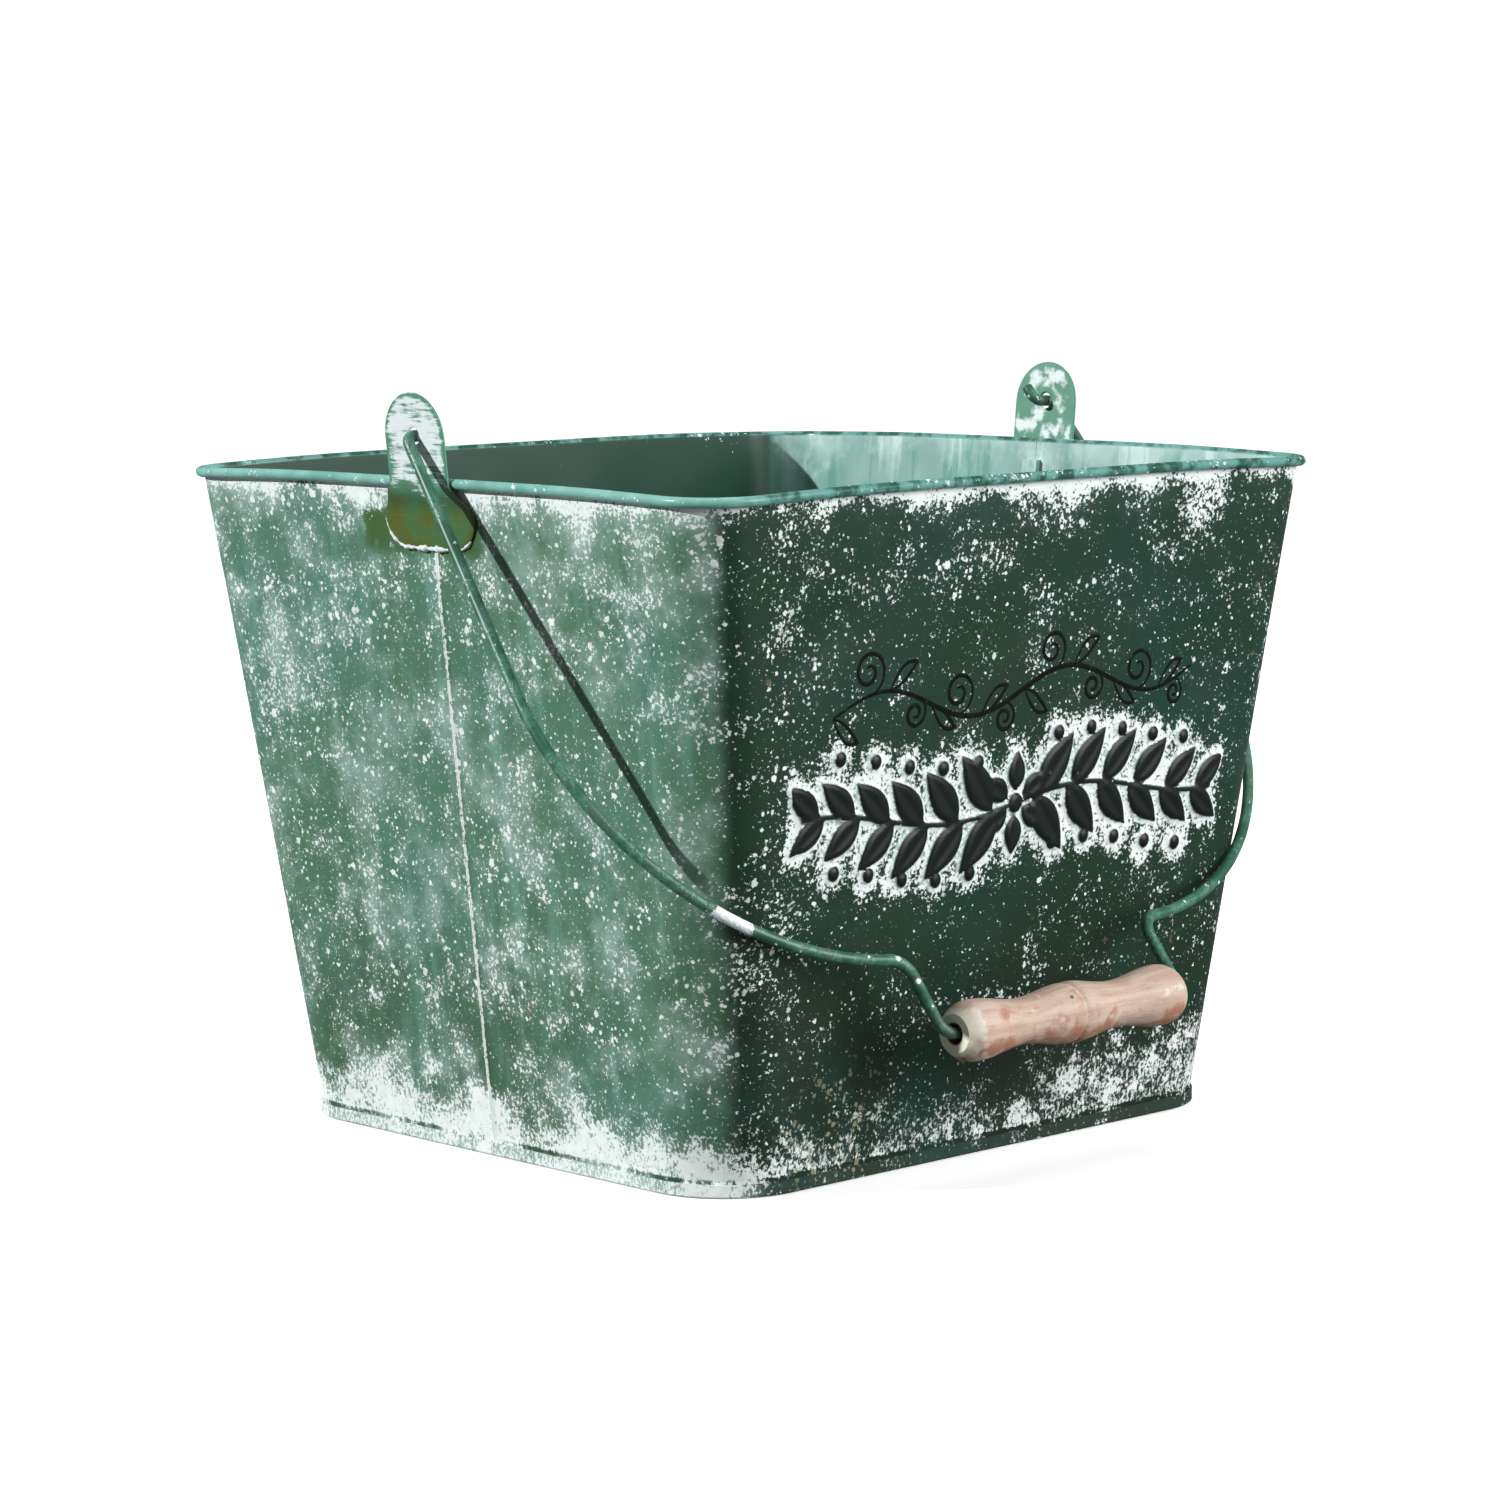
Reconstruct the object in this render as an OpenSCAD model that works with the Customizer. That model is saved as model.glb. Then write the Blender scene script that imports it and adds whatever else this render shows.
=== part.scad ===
// Square tapered sheet-metal bucket with a swinging wire bail and a turned wooden grip.
// Millimetres, +Z up. The origin is the middle of the foot, and the front face looks along -Y.

/* [Bucket] */
// Height from the foot to the top of the rolled rim
bucket_h = 185; // [150:1:225]
// Width between the side faces at the top of the walls
top_w = 235; // [196:1:282]
// Depth between the front and back faces at the top of the walls
top_d = 219; // [182:1:263]
// Width of the walls at the foot
foot_w = 197; // [164:1:236]
// Depth of the walls at the foot
foot_d = 182; // [152:1:218]
// Radius of the upright corners at the top
top_r = 16; // [10:0.5:24]
// Radius of the upright corners at the foot
foot_r = 24.5; // [16:0.5:32]
// Thickness of the wall sheet
sheet = 0.5; // [0.4:0.05:0.7]
// Outside diameter of the rolled rim
bead_d = 2.8; // [2.2:0.1:4]

/* [Side seams] */
// Width of the interlocked folds
seam_w = 5; // [4:0.5:9]
// Clearance between the layers of the folds
seam_gap = 0.1; // [0.06:0.01:0.15]
// Height above the foot at which the folds start, over the base hem
seam_foot_gap = 1.5; // [1:0.5:4]
// Distance that the folds stop short of the rim's roll
seam_rim_gap = 5; // [3:0.5:9]

/* [Base pan] */
// Thickness of the base sheet
pan_sheet = 0.5; // [0.4:0.05:0.7]
// Height of the hem that grips the foot of the walls
hem_h = 3.6; // [3:0.2:6]
// Clearance between the hem and the wall sheet
hem_gap = 0.1; // [0.06:0.01:0.15]
// Height of the top of the floor above the foot
floor_h = 4.6; // [4:0.2:9]
// Bend radius on the outside of the base sheet
pan_bend = 1; // [0.8:0.1:1.6]

/* [Ears] */
// Thickness of the ear plates
ear_t = 0.7; // [0.5:0.1:1.2]
// Width of the upright tongue
ear_w = 24; // [18:1:32]
// Width of the welded tab under the rim
ear_tab_w = 37; // [30:1:48]
// Radius of the tab's lower corners
ear_tab_r = 9; // [5:0.5:11]
// Distance from the top of the rim down to the bottom of the tab
ear_drop = 19; // [17:0.5:30]
// Height of the bail's axis above the rim
pivot_rise = 11; // [9:0.5:16]
// Distance from the bail's axis up to the top of the ear
ear_over_pivot = 11.5; // [9:0.5:15]
// Lean of the tongue away from the upright
ear_lean = 6; // [0:0.5:8]
// Diameter of the hole for the bail
ear_hole_d = 4.6; // [4:0.1:6]
// Clearance between the ear and the rim or wall that it lies on
ear_gap = 0.1; // [0.05:0.05:0.3]

/* [Bail] */
// Diameter of the wire
wire_d = 3.2; // [2.4:0.1:4]
// Distance from the bail's axis to the middle of the grip
bail_drop = 196.5; // [188:0.5:216]
// Radius of each big shoulder bend
shoulder_r = 86; // [70:1:90]
// Distance from the top of each side face in to the centre of the shoulder bend beside it
shoulder_in = 72.5; // [60:0.5:80]
// Distance from the bail's axis to the centres of the shoulder bends
shoulder_drop = 87; // [80:1:96]
// Radius of the upper bend of each kink
kink_r = 6; // [4:0.5:9]
// Radius of the lower bend of each kink, beside the grip
grip_bend_r = 4.5; // [3.5:0.5:6]
// Radius of the bends at the ears
ear_bend_r = 2.8; // [2.6:0.1:4]
// Distance that the grip sits off the middle, towards the left ear
grip_off = 2.5; // [0:0.5:5]
// Length of the straight tail inside each ear
tail_l = 3; // [2:0.5:4]
// Clearance between the bail and the bucket's corners when the bail hangs on them
rest_gap = 0.3; // [0.3:0.05:1]

/* [Grip] */
// Length of the grip
grip_l = 85; // [71:1:102]
// Largest diameter
grip_d = 17; // [14:0.5:21]
// Diameter of the two necks
neck_d = 13; // [10:0.5:14]
// Diameter of the end faces
grip_face_d = 11; // [9:0.5:13]
// Length of the rounded shoulder at each end
grip_round_l = 6.5; // [5:0.5:9]
// Bore for the wire
grip_bore_d = 5; // [4.2:0.1:6]
// Depth of the countersink at each mouth
mouth = 0.6; // [0.3:0.1:1]
// Width of the turned groove in the middle
groove_w = 1.2; // [0.6:0.1:2]
// Depth of the groove
groove_h = 0.5; // [0.2:0.1:0.8]
// Play between each end of the grip and the kink beside it
grip_play = 1.9; // [1:0.1:3]

/* [Hidden] */
$fn = 64;
CORNER_STEPS = 12;
CURL_STEPS = 14;
CURL_ANGLE = 300;
GRIP_STEPS = 28;
MOUTH_STEPS = 7;
EMBED = 0.5;
JOINT_L = 0.3;
JOINT_PROUD = 0.02;

paint = "#2f6149";
whitewash = "#b9c6c1";
wood = "#d0a58c";

// The foot of the walls is an upright band inside the hem, and the taper starts above it.
band_h = hem_h + 0.4;
wall_foot = pan_sheet + hem_gap;
curl_r = bead_d / 2;
curl_z = bucket_h - curl_r;
layer = sheet + seam_gap;
front_edge = seam_w / 2;
back_edge = front_edge + 2 * seam_gap + sheet / 2;

function mix(a, b, t) = a + (b - a) * t;
function rise(z) = max(0, min(1, (z - band_h) / (bucket_h - band_h)));
function half_w(z) = mix(foot_w, top_w, rise(z)) / 2;
function half_d(z) = mix(foot_d, top_d, rise(z)) / 2;
function corner_r(z) = mix(foot_r, top_r, rise(z));

side_slope = atan((top_w - foot_w) / 2 / (bucket_h - band_h));
front_slope = atan((top_d - foot_d) / 2 / (bucket_h - band_h));

// ---- walls: one sheet section, carried round half of the plan ----

// A section point is [distance outside the wall's outer face, height].
function curl_arc(r) = [
    for (i = [1:CURL_STEPS])
        let (a = 180 - CURL_ANGLE * i / CURL_STEPS)
            [curl_r - sheet + r * cos(a), curl_z + r * sin(a)]
];
function sheet_face(u, r) = concat([[u, wall_foot], [u, band_h], [u, curl_z]], curl_arc(r));
outer_face = sheet_face(0, curl_r - sheet);
inner_face = sheet_face(-sheet, curl_r);

// A station of the plan is [side in X, side in Y, angle, y]: a seam edge has side in Y = 0.
function corner_stations(sx, sy, from) = [
    for (i = [0:CORNER_STEPS]) [sx, sy, from + 90 * i / CORNER_STEPS, 0]
];
front_stations = concat(
    [[-1, 0, 0, front_edge]],
    corner_stations(-1, -1, 180),
    corner_stations(1, -1, 270),
    [[1, 0, 0, front_edge]]
);
back_stations = concat(
    [[1, 0, 0, back_edge]],
    corner_stations(1, 1, 0),
    corner_stations(-1, 1, 90),
    [[-1, 0, 0, back_edge]]
);

function wall_point(s, q) =
    let (u = q[0], z = q[1], r = corner_r(z))
        s[1] == 0
            ? [s[0] * (half_w(z) + u), s[3], z]
            : [
                s[0] * (half_w(z) - r) + (r + u) * cos(s[2]),
                s[1] * (half_d(z) - r) + (r + u) * sin(s[2]),
                z
            ];

// Sweeps the section round the stations. The loop runs up the outer face and back down the inner one.
module wall_sheet(stations) {
    n = len(outer_face);
    m = 2 * n;
    last = len(stations) - 1;
    loop = concat(outer_face, [for (j = [n - 1:-1:0]) inner_face[j]]);
    function cap(i, flip) = [
        for (j = [0:n - 2])
            let (a = i * m + j, b = a + 1, c = i * m + m - 2 - j, d = c + 1)
                for (t = [[a, b, c], [a, c, d]]) flip ? [t[2], t[1], t[0]] : t
    ];
    polyhedron(
        points = [for (s = stations) for (q = loop) wall_point(s, q)],
        faces = concat(
            [
                for (i = [0:last - 1]) for (j = [0:m - 1])
                    let (k = (j + 1) % m, a = i * m + j, b = i * m + k, c = a + m, d = b + m)
                        for (t = [[a, b, d], [a, d, c]]) t
            ],
            cap(0, true),
            cap(last, false)
        )
    );
}

// Folds of the side seam: layer 0 is the front sheet itself, 1 and 3 belong to the back sheet, 2 to the
// front. A point is [depth under the wall's outer face, y].
front_fold = [
    [sheet / 2, front_edge + seam_gap],
    [2 * layer + sheet, front_edge + seam_gap],
    [2 * layer + sheet, layer - front_edge],
    [2 * layer, layer - front_edge],
    [2 * layer, front_edge + seam_gap - sheet],
    [sheet / 2, front_edge + seam_gap - sheet]
];
back_fold = [
    [sheet / 2, back_edge - sheet / 2],
    [3 * layer, back_edge - sheet / 2],
    [3 * layer, sheet - front_edge],
    [layer + sheet, sheet - front_edge],
    [layer + sheet, front_edge - layer],
    [layer, front_edge - layer],
    [layer, -front_edge],
    [3 * layer + sheet, -front_edge],
    [3 * layer + sheet, back_edge + sheet / 2],
    [sheet / 2, back_edge + sheet / 2]
];

module seam_folds(fold) {
    from = band_h + seam_foot_gap;
    to = curl_z - seam_rim_gap;
    for (side = [0, 1])
        mirror([side, 0, 0])
            translate([-half_w(from), 0, from])
                rotate([0, -side_slope, 0])
                    linear_extrude(height = (to - from) / cos(side_slope))
                        polygon(fold);
}

module front_wall() {
    color(paint) {
        wall_sheet(front_stations);
        seam_folds(front_fold);
    }
}

module back_wall() {
    color(paint) {
        wall_sheet(back_stations);
        seam_folds(back_fold);
    }
}

// ---- base pan: a floor, a flange down inside the walls and a hem up outside them ----

pan_out = hem_gap + pan_sheet;
pan_in = -sheet - hem_gap - pan_sheet;
floor_edge = pan_in - 2 * pan_bend;

function bend(u, z, r, from, to) = [
    for (i = [0:6]) let (a = mix(from, to, i / 6)) [u + r * cos(a), z + r * sin(a)]
];

foot_bend = pan_sheet;
pan_section = concat(
    [[pan_out, hem_h]],
    bend(pan_out - foot_bend, foot_bend, foot_bend, 0, -90),
    bend(pan_in + foot_bend, foot_bend, foot_bend, -90, -180),
    bend(pan_in + pan_sheet - pan_bend, floor_h - pan_bend, pan_bend - pan_sheet, 0, 90),
    [[floor_edge, floor_h - pan_sheet], [floor_edge, floor_h]],
    bend(pan_in + pan_sheet - pan_bend, floor_h - pan_bend, pan_bend, 90, 0),
    [[pan_in + pan_sheet, pan_sheet], [hem_gap, pan_sheet], [hem_gap, hem_h]]
);

module pan_side(angle, reach, length) {
    rotate([0, 0, angle])
        rotate([90, 0, 0])
            linear_extrude(height = length, center = true)
                polygon([for (q = pan_section) [reach + q[0], q[1]]]);
}

module pan_corner(sx, sy, angle) {
    translate([sx * (foot_w / 2 - foot_r), sy * (foot_d / 2 - foot_r), 0])
        rotate([0, 0, angle])
            rotate_extrude(angle = 90)
                polygon([for (q = pan_section) [foot_r + q[0], q[1]]]);
}

// A rounded rectangle that stands u outside the foot outline
module foot_outline(u) {
    w = foot_w / 2 - foot_r;
    d = foot_d / 2 - foot_r;
    square([2 * w, 2 * (d + foot_r + u)], center = true);
    square([2 * (w + foot_r + u), 2 * d], center = true);
    for (x = [-w, w]) for (y = [-d, d]) translate([x, y]) circle(r = foot_r + u);
}

module base_pan() {
    color(paint) {
        for (angle = [0, 180]) pan_side(angle, foot_w / 2, foot_d - 2 * foot_r);
        for (angle = [90, 270]) pan_side(angle, foot_d / 2, foot_w - 2 * foot_r);
        pan_corner(1, 1, 0);
        pan_corner(-1, 1, 90);
        pan_corner(-1, -1, 180);
        pan_corner(1, -1, 270);
        translate([0, 0, floor_h - pan_sheet])
            linear_extrude(height = pan_sheet)
                foot_outline(floor_edge);
    }
}

// ---- ears ----

pivot_z = bucket_h + pivot_rise;
ear_top = pivot_z + ear_over_pivot;
ear_foot = bucket_h - ear_drop;
bead_out = top_w / 2 - sheet + bead_d;
joggle_foot = bucket_h - bead_d - 5;
joggle_top = bucket_h - bead_d - 1;
tongue_foot = bucket_h - 2;

function tongue_x(z) = bead_out + ear_gap + (z - curl_z) * tan(ear_lean);
function tab_x(z) = half_w(z) + ear_gap;

// Side view of the bent plate, [x, z]: flat on the wall, out past the rim, and up
ear_inner = [
    [tab_x(ear_foot - EMBED), ear_foot - EMBED],
    [tab_x(joggle_foot), joggle_foot],
    [tongue_x(joggle_top), joggle_top],
    [tongue_x(ear_top + EMBED), ear_top + EMBED]
];

module ear_outline() {
    tab = ear_tab_w / 2 - ear_tab_r;
    for (y = [-tab, tab]) translate([y, ear_foot + ear_tab_r]) circle(r = ear_tab_r);
    translate([-tab, ear_foot]) square([2 * tab, ear_tab_r]);
    polygon([
        [-ear_tab_w / 2, ear_foot + ear_tab_r],
        [ear_tab_w / 2, ear_foot + ear_tab_r],
        [ear_w / 2, tongue_foot],
        [-ear_w / 2, tongue_foot]
    ]);
    translate([-ear_w / 2, tongue_foot])
        square([ear_w, ear_top - ear_w / 2 - tongue_foot]);
    translate([0, ear_top - ear_w / 2]) circle(d = ear_w);
}

module ear() {
    color(whitewash)
        difference() {
            intersection() {
                rotate([90, 0, 0])
                    linear_extrude(height = 2 * ear_tab_w, center = true)
                        polygon(concat(
                            ear_inner,
                            [for (i = [3:-1:0]) ear_inner[i] + [ear_t, 0]]
                        ));
                rotate([90, 0, 90]) linear_extrude(height = top_w) ear_outline();
            }
            translate([top_w / 2 - bead_d, 0, pivot_z])
                rotate([0, 90, 0])
                    cylinder(d = ear_hole_d, h = 6 * bead_d);
        }
}

module left_ear() {
    mirror([1, 0, 0]) ear();
}

module right_ear() {
    ear();
}

// ---- bail: worked out flat, hanging straight down from its axis, [x, y] with y along the hang ----

shoulder_x = top_w / 2 - shoulder_in;
kink_reach = grip_l / 2 + grip_play + wire_d / 2;
ear_c = [-(tongue_x(pivot_z) + ear_t), -ear_bend_r];
shoulder_c = [-shoulder_x, -shoulder_drop];
shoulder_to_ear = shoulder_c - ear_c;
// Splay of the straight legs, tangent to the ear bend and to the shoulder bend
splay = atan2(-shoulder_to_ear[1], shoulder_to_ear[0])
    - acos((shoulder_r - ear_bend_r) / norm(shoulder_to_ear));
leg_side = [-cos(splay), sin(splay)];
leg_top = ear_c + ear_bend_r * leg_side;
leg_foot = shoulder_c + shoulder_r * leg_side;
// The kinks' distances from the middle plane: the left one, and the right one
kinks = [kink_reach + grip_off, kink_reach - grip_off];
function kink_c(k) = [
    -(k + kink_r),
    -shoulder_drop - sqrt(pow(shoulder_r + kink_r, 2) - pow(k + kink_r - shoulder_x, 2))
];
function shoulder_end(k) = 360 + atan2(kink_c(k)[1] - shoulder_c[1], kink_c(k)[0] - shoulder_c[0]);
function grip_bend_c(k) = [-k + grip_bend_r, -bail_drop + grip_bend_r];
tail_x = tongue_x(pivot_z) - wire_d / 2;

// How far a point [x, y, z] lies outside the walls' outline at its own height
function outside(p) =
    let (
        r = corner_r(p[2]),
        q = [abs(p[0]) - half_w(p[2]) + r, abs(p[1]) - half_d(p[2]) + r]
    )
        norm([max(q[0], 0), max(q[1], 0)]) + min(max(q[0], q[1]), 0) - r;

function hung(p, angle) = [p[0], p[1] * sin(angle), pivot_z + p[1] * cos(angle)];
wire_trace = concat(
    [for (a = [180:2:shoulder_end(kinks[0])]) shoulder_c + shoulder_r * [cos(a), sin(a)]],
    [[-kinks[0], kink_c(kinks[0])[1]], [-kinks[0], grip_bend_c(kinks[0])[1]]]
);
function clears(angle) =
    min([for (p = wire_trace) outside(hung(p, angle))]) * cos(front_slope)
        >= wire_d / 2 + rest_gap
    && outside(hung([0, -bail_drop], angle)) * cos(front_slope) >= grip_d / 2 + rest_gap;
// Angle from the upright at which the bail hangs on the two front corners
rest_angle = [for (a = [10:0.1:85]) if (clears(a)) a][0];

module wire_line(from, to) {
    run = to - from;
    translate([from[0], from[1], 0])
        rotate([0, 90, atan2(run[1], run[0])])
            cylinder(d = wire_d, h = norm(run));
}

module wire_arc(c, r, from, to) {
    translate([c[0], c[1], 0])
        rotate([0, 0, from])
            rotate_extrude(angle = to - from)
                translate([r, 0])
                    circle(d = wire_d);
}

// A ring a fiftieth of a millimetre proud binds two stretches that meet end to end into one solid.
module wire_joint(at, heading) {
    translate([at[0], at[1], 0])
        rotate([0, 90, heading])
            cylinder(d = wire_d + 2 * JOINT_PROUD, h = JOINT_L, center = true);
}

module half_bail(k) {
    tail_c = [-tail_x, ear_bend_r];
    turn = shoulder_end(k);
    kink_foot = [-k, kink_c(k)[1]];
    grip_bend = grip_bend_c(k);
    wire_joint(tail_c + [ear_bend_r, 0], 90);
    wire_joint([-tail_x, 0], 0);
    wire_joint([ear_c[0], 0], 0);
    wire_joint(leg_top, 90 - splay);
    wire_joint(leg_foot, 90 - splay);
    wire_joint(shoulder_c + shoulder_r * [cos(turn), sin(turn)], turn + 90);
    wire_joint(kink_foot, 90);
    wire_joint([-k, grip_bend[1]], 90);
    wire_joint([grip_bend[0], -bail_drop], 0);
    wire_line(tail_c + [ear_bend_r, tail_l], tail_c + [ear_bend_r, 0]);
    wire_arc(tail_c, ear_bend_r, -90, 0);
    wire_line([-tail_x, 0], [ear_c[0], 0]);
    wire_arc(ear_c, ear_bend_r, 90, 180 - splay);
    wire_line(leg_top, leg_foot);
    wire_arc(shoulder_c, shoulder_r, 180 - splay, turn);
    wire_arc(kink_c(k), kink_r, 0, turn - 180);
    wire_line(kink_foot, [-k, grip_bend[1]]);
    wire_arc(grip_bend, grip_bend_r, 180, 270);
}

module at_rest() {
    translate([0, 0, pivot_z]) rotate([-rest_angle, 0, 0]) children();
}

module bail() {
    color(paint)
        at_rest()
            rotate([90, 0, 0]) {
                half_bail(kinks[0]);
                mirror([1, 0, 0]) half_bail(kinks[1]);
                wire_line(grip_bend_c(kinks[0]) - [0, grip_bend_r], [-grip_bend_c(kinks[1])[0], -bail_drop]);
            }
}

// ---- grip: a turned profile, [radius, distance from the middle] ----

bulb_at = grip_l / 2 - grip_round_l;
function turned_r(x) = mix(neck_d, grip_d, (1 + cos(360 * x / bulb_at)) / 2) / 2;
round_reach = grip_round_l / sqrt(1 - pow(grip_face_d / grip_d, 2));
half_profile = concat(
    [[turned_r(0) - groove_h, 0]],
    [for (i = [1:GRIP_STEPS]) let (x = mix(groove_w / 2, bulb_at, (i - 1) / (GRIP_STEPS - 1)))
        [turned_r(x), x]],
    [for (i = [1:MOUTH_STEPS]) let (x = grip_round_l * i / MOUTH_STEPS)
        [grip_d / 2 * sqrt(1 - pow(x / round_reach, 2)), bulb_at + x]],
    [[grip_bore_d / 2 + mouth, grip_l / 2], [grip_bore_d / 2, grip_l / 2 - mouth]]
);

module grip() {
    other_half = [for (i = [len(half_profile) - 1:-1:1]) [half_profile[i][0], -half_profile[i][1]]];
    color(wood)
        at_rest()
            translate([-grip_off, 0, -bail_drop])
                rotate([0, 90, 0])
                    rotate_extrude()
                        polygon(concat(half_profile, other_half));
}

front_wall();
back_wall();
base_pan();
left_ear();
right_ear();
bail();
grip();
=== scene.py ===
# %% [markdown]
# # A square sheet-steel bucket with a wire bail and a turned grip
# The construction model is the fixed frame of this scene. It is loaded first, and every
# size below is one of the sizes that it was drawn with, so the visible pieces lie on it.

# %% Load the frame
import math
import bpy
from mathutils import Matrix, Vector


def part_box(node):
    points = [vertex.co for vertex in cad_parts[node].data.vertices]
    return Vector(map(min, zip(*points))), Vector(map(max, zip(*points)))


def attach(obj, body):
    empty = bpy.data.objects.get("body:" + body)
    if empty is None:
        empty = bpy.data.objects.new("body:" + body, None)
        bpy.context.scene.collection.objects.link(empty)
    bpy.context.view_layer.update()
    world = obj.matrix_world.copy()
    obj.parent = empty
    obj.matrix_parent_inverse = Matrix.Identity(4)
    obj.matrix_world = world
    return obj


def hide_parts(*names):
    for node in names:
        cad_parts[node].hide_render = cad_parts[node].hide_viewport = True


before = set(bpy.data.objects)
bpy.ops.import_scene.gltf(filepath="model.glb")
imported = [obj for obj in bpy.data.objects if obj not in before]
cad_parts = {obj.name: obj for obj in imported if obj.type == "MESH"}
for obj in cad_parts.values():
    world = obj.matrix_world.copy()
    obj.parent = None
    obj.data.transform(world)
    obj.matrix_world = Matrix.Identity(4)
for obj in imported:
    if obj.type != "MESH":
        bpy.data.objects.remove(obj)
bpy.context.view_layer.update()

from types import SimpleNamespace

import bpy
import numpy as np
from mathutils import Matrix

for name in sorted(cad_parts):
    low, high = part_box(name)
    print(name, [round(1000 * v, 1) for v in (*low, *high)])

# %% [markdown]
# ## The camera
# A long lens seen from a little above the rim. It looks at the left side and the front,
# so it is turned by two angles and a roll, and stands at a given place.

# %% Camera
MM = 0.001
LENS_MM = 107.99
CAMERA_AZIMUTH, CAMERA_ELEVATION, CAMERA_ROLL = np.radians([-43.304, 7.061, -0.542])
CAMERA_PLACE = np.array([-0.86935, -0.92071, 0.25859])


def camera_axes(azimuth, elevation, roll):
    """Right, up and back: back points from the object to the camera, right is level
    before the roll, and the roll turns right and up about the line of sight."""
    back = np.array([
        math.sin(azimuth) * math.cos(elevation),
        -math.cos(azimuth) * math.cos(elevation),
        math.sin(elevation),
    ])
    right = np.cross(-back, [0, 0, 1])
    right /= np.linalg.norm(right)
    up = np.cross(right, -back)
    turned_right = math.cos(roll) * right + math.sin(roll) * up
    turned_up = math.cos(roll) * up - math.sin(roll) * right
    return turned_right, turned_up, back


axes = camera_axes(CAMERA_AZIMUTH, CAMERA_ELEVATION, CAMERA_ROLL)
camera = bpy.data.objects.new("camera", bpy.data.cameras.new("camera"))
bpy.context.scene.collection.objects.link(camera)
camera.data.lens = LENS_MM
camera.data.sensor_width = 36
camera.data.clip_start, camera.data.clip_end = 0.05, 50
pose = np.eye(4)
pose[:3, :3] = np.column_stack(axes)
pose[:3, 3] = CAMERA_PLACE
camera.matrix_world = Matrix(pose.tolist())
bpy.context.scene.camera = camera
print("camera stands", round(float(np.linalg.norm(CAMERA_PLACE)), 3), "m from the foot")

# %% [markdown]
# ## Sizes
# The walls are one tapered box with round upright corners, rolled over a hollow bead at
# the rim. The numbers are millimetres, and stay millimetres until a mesh is made.

# %% Sizes of the bucket
# height, then width and depth at the rim and at the foot
BUCKET_H, TOP_W, TOP_D, FOOT_W, FOOT_D = 185.0, 235.0, 219.0, 197.0, 182.0
TOP_R, FOOT_R = 16.0, 24.5  # of the upright corners
SHEET, BEAD_D = 0.5, 2.8
BAND_H, WALL_FOOT = 4.0, 0.6  # the band at the foot is upright, and starts above the pan
CURL_R = BEAD_D / 2
CURL_Z = BUCKET_H - CURL_R
CURL_TURN = math.radians(300)
SEAM_W, SEAM_GAP = 5.0, 0.1
LAYER = SHEET + SEAM_GAP
FRONT_EDGE = SEAM_W / 2
BACK_EDGE = FRONT_EDGE + 2 * SEAM_GAP + SHEET / 2
PIVOT_Z = 196.0
REST_ANGLE = math.radians(38.4)


def rise(z):
    """Share of the way up the taper, 0 on the upright band at the foot, 1 at the rim."""
    return np.clip((z - BAND_H) / (BUCKET_H - BAND_H), 0, 1)


def half_w(z):
    """Half the width between the side faces at height z."""
    return (FOOT_W + (TOP_W - FOOT_W) * rise(z)) / 2


def half_d(z):
    """Half the depth between the front and back faces at height z."""
    return (FOOT_D + (TOP_D - FOOT_D) * rise(z)) / 2


def corner_r(z):
    """Radius of the upright corners at height z."""
    return FOOT_R + (TOP_R - FOOT_R) * rise(z)


def smooth(x, low, high):
    """0 below low, 1 above high, and a smooth cubic step between them."""
    t = np.clip((x - low) / (high - low), 0, 1)
    return t * t * (3 - 2 * t)


print("taper of the sides, degrees:",
      round(math.degrees(math.atan((TOP_W - FOOT_W) / 2 / (BUCKET_H - BAND_H))), 2))

# %% [markdown]
# ## Making a mesh from arrays
# Every new piece is a grid of points: rings carried along a path. One helper turns such
# grids into faces, closes the ends, turns everything outwards and names the piece.

# %% Grids to meshes


def ring_faces(rings, around, first):
    """Quads between each ring of `around` points and the next one, counted from first."""
    i = np.arange(rings - 1)[:, None] * around
    j = np.arange(around)[None, :]
    k = (j + 1) % around
    return (first + np.stack([i + j, i + k, i + around + k, i + around + j], -1)).reshape(-1, 4)


def shell(rings, loop=False):
    """Closed shell from rings (m, n, 3). A loop joins the last ring to the first, and an
    open row of rings has a face over each end."""
    m, n = rings.shape[:2]
    points = rings.reshape(-1, 3)
    faces = ring_faces(m, n, 0)
    if loop:
        j = np.arange(n)
        k = (j + 1) % n
        joint = np.stack([(m - 1) * n + j, (m - 1) * n + k, k, j], -1)
        return points, np.vstack([faces, joint]).tolist()
    ends = [list(range(n - 1, -1, -1)), list(range((m - 1) * n, m * n))]
    return points, faces.tolist() + ends


def outward(points, faces):
    """Turns the faces round if the volume that they close is negative. The volume is the
    sum of the tetrahedra from the origin to each triangle of each face."""
    quads = np.array([f for f in faces if len(f) == 4])
    caps = [np.array([[f[0], f[i], f[i + 1]] for i in range(1, len(f) - 1)])
            for f in faces if len(f) != 4]
    tris = np.vstack([quads[:, [0, 1, 2]], quads[:, [0, 2, 3]], *caps])
    a, b, c = (points[tris[:, i]] for i in range(3))
    volume = np.einsum("ij,ij->i", a, np.cross(b, c)).sum() / 6
    return (faces, volume) if volume > 0 else ([f[::-1] for f in faces], -volume)


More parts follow.
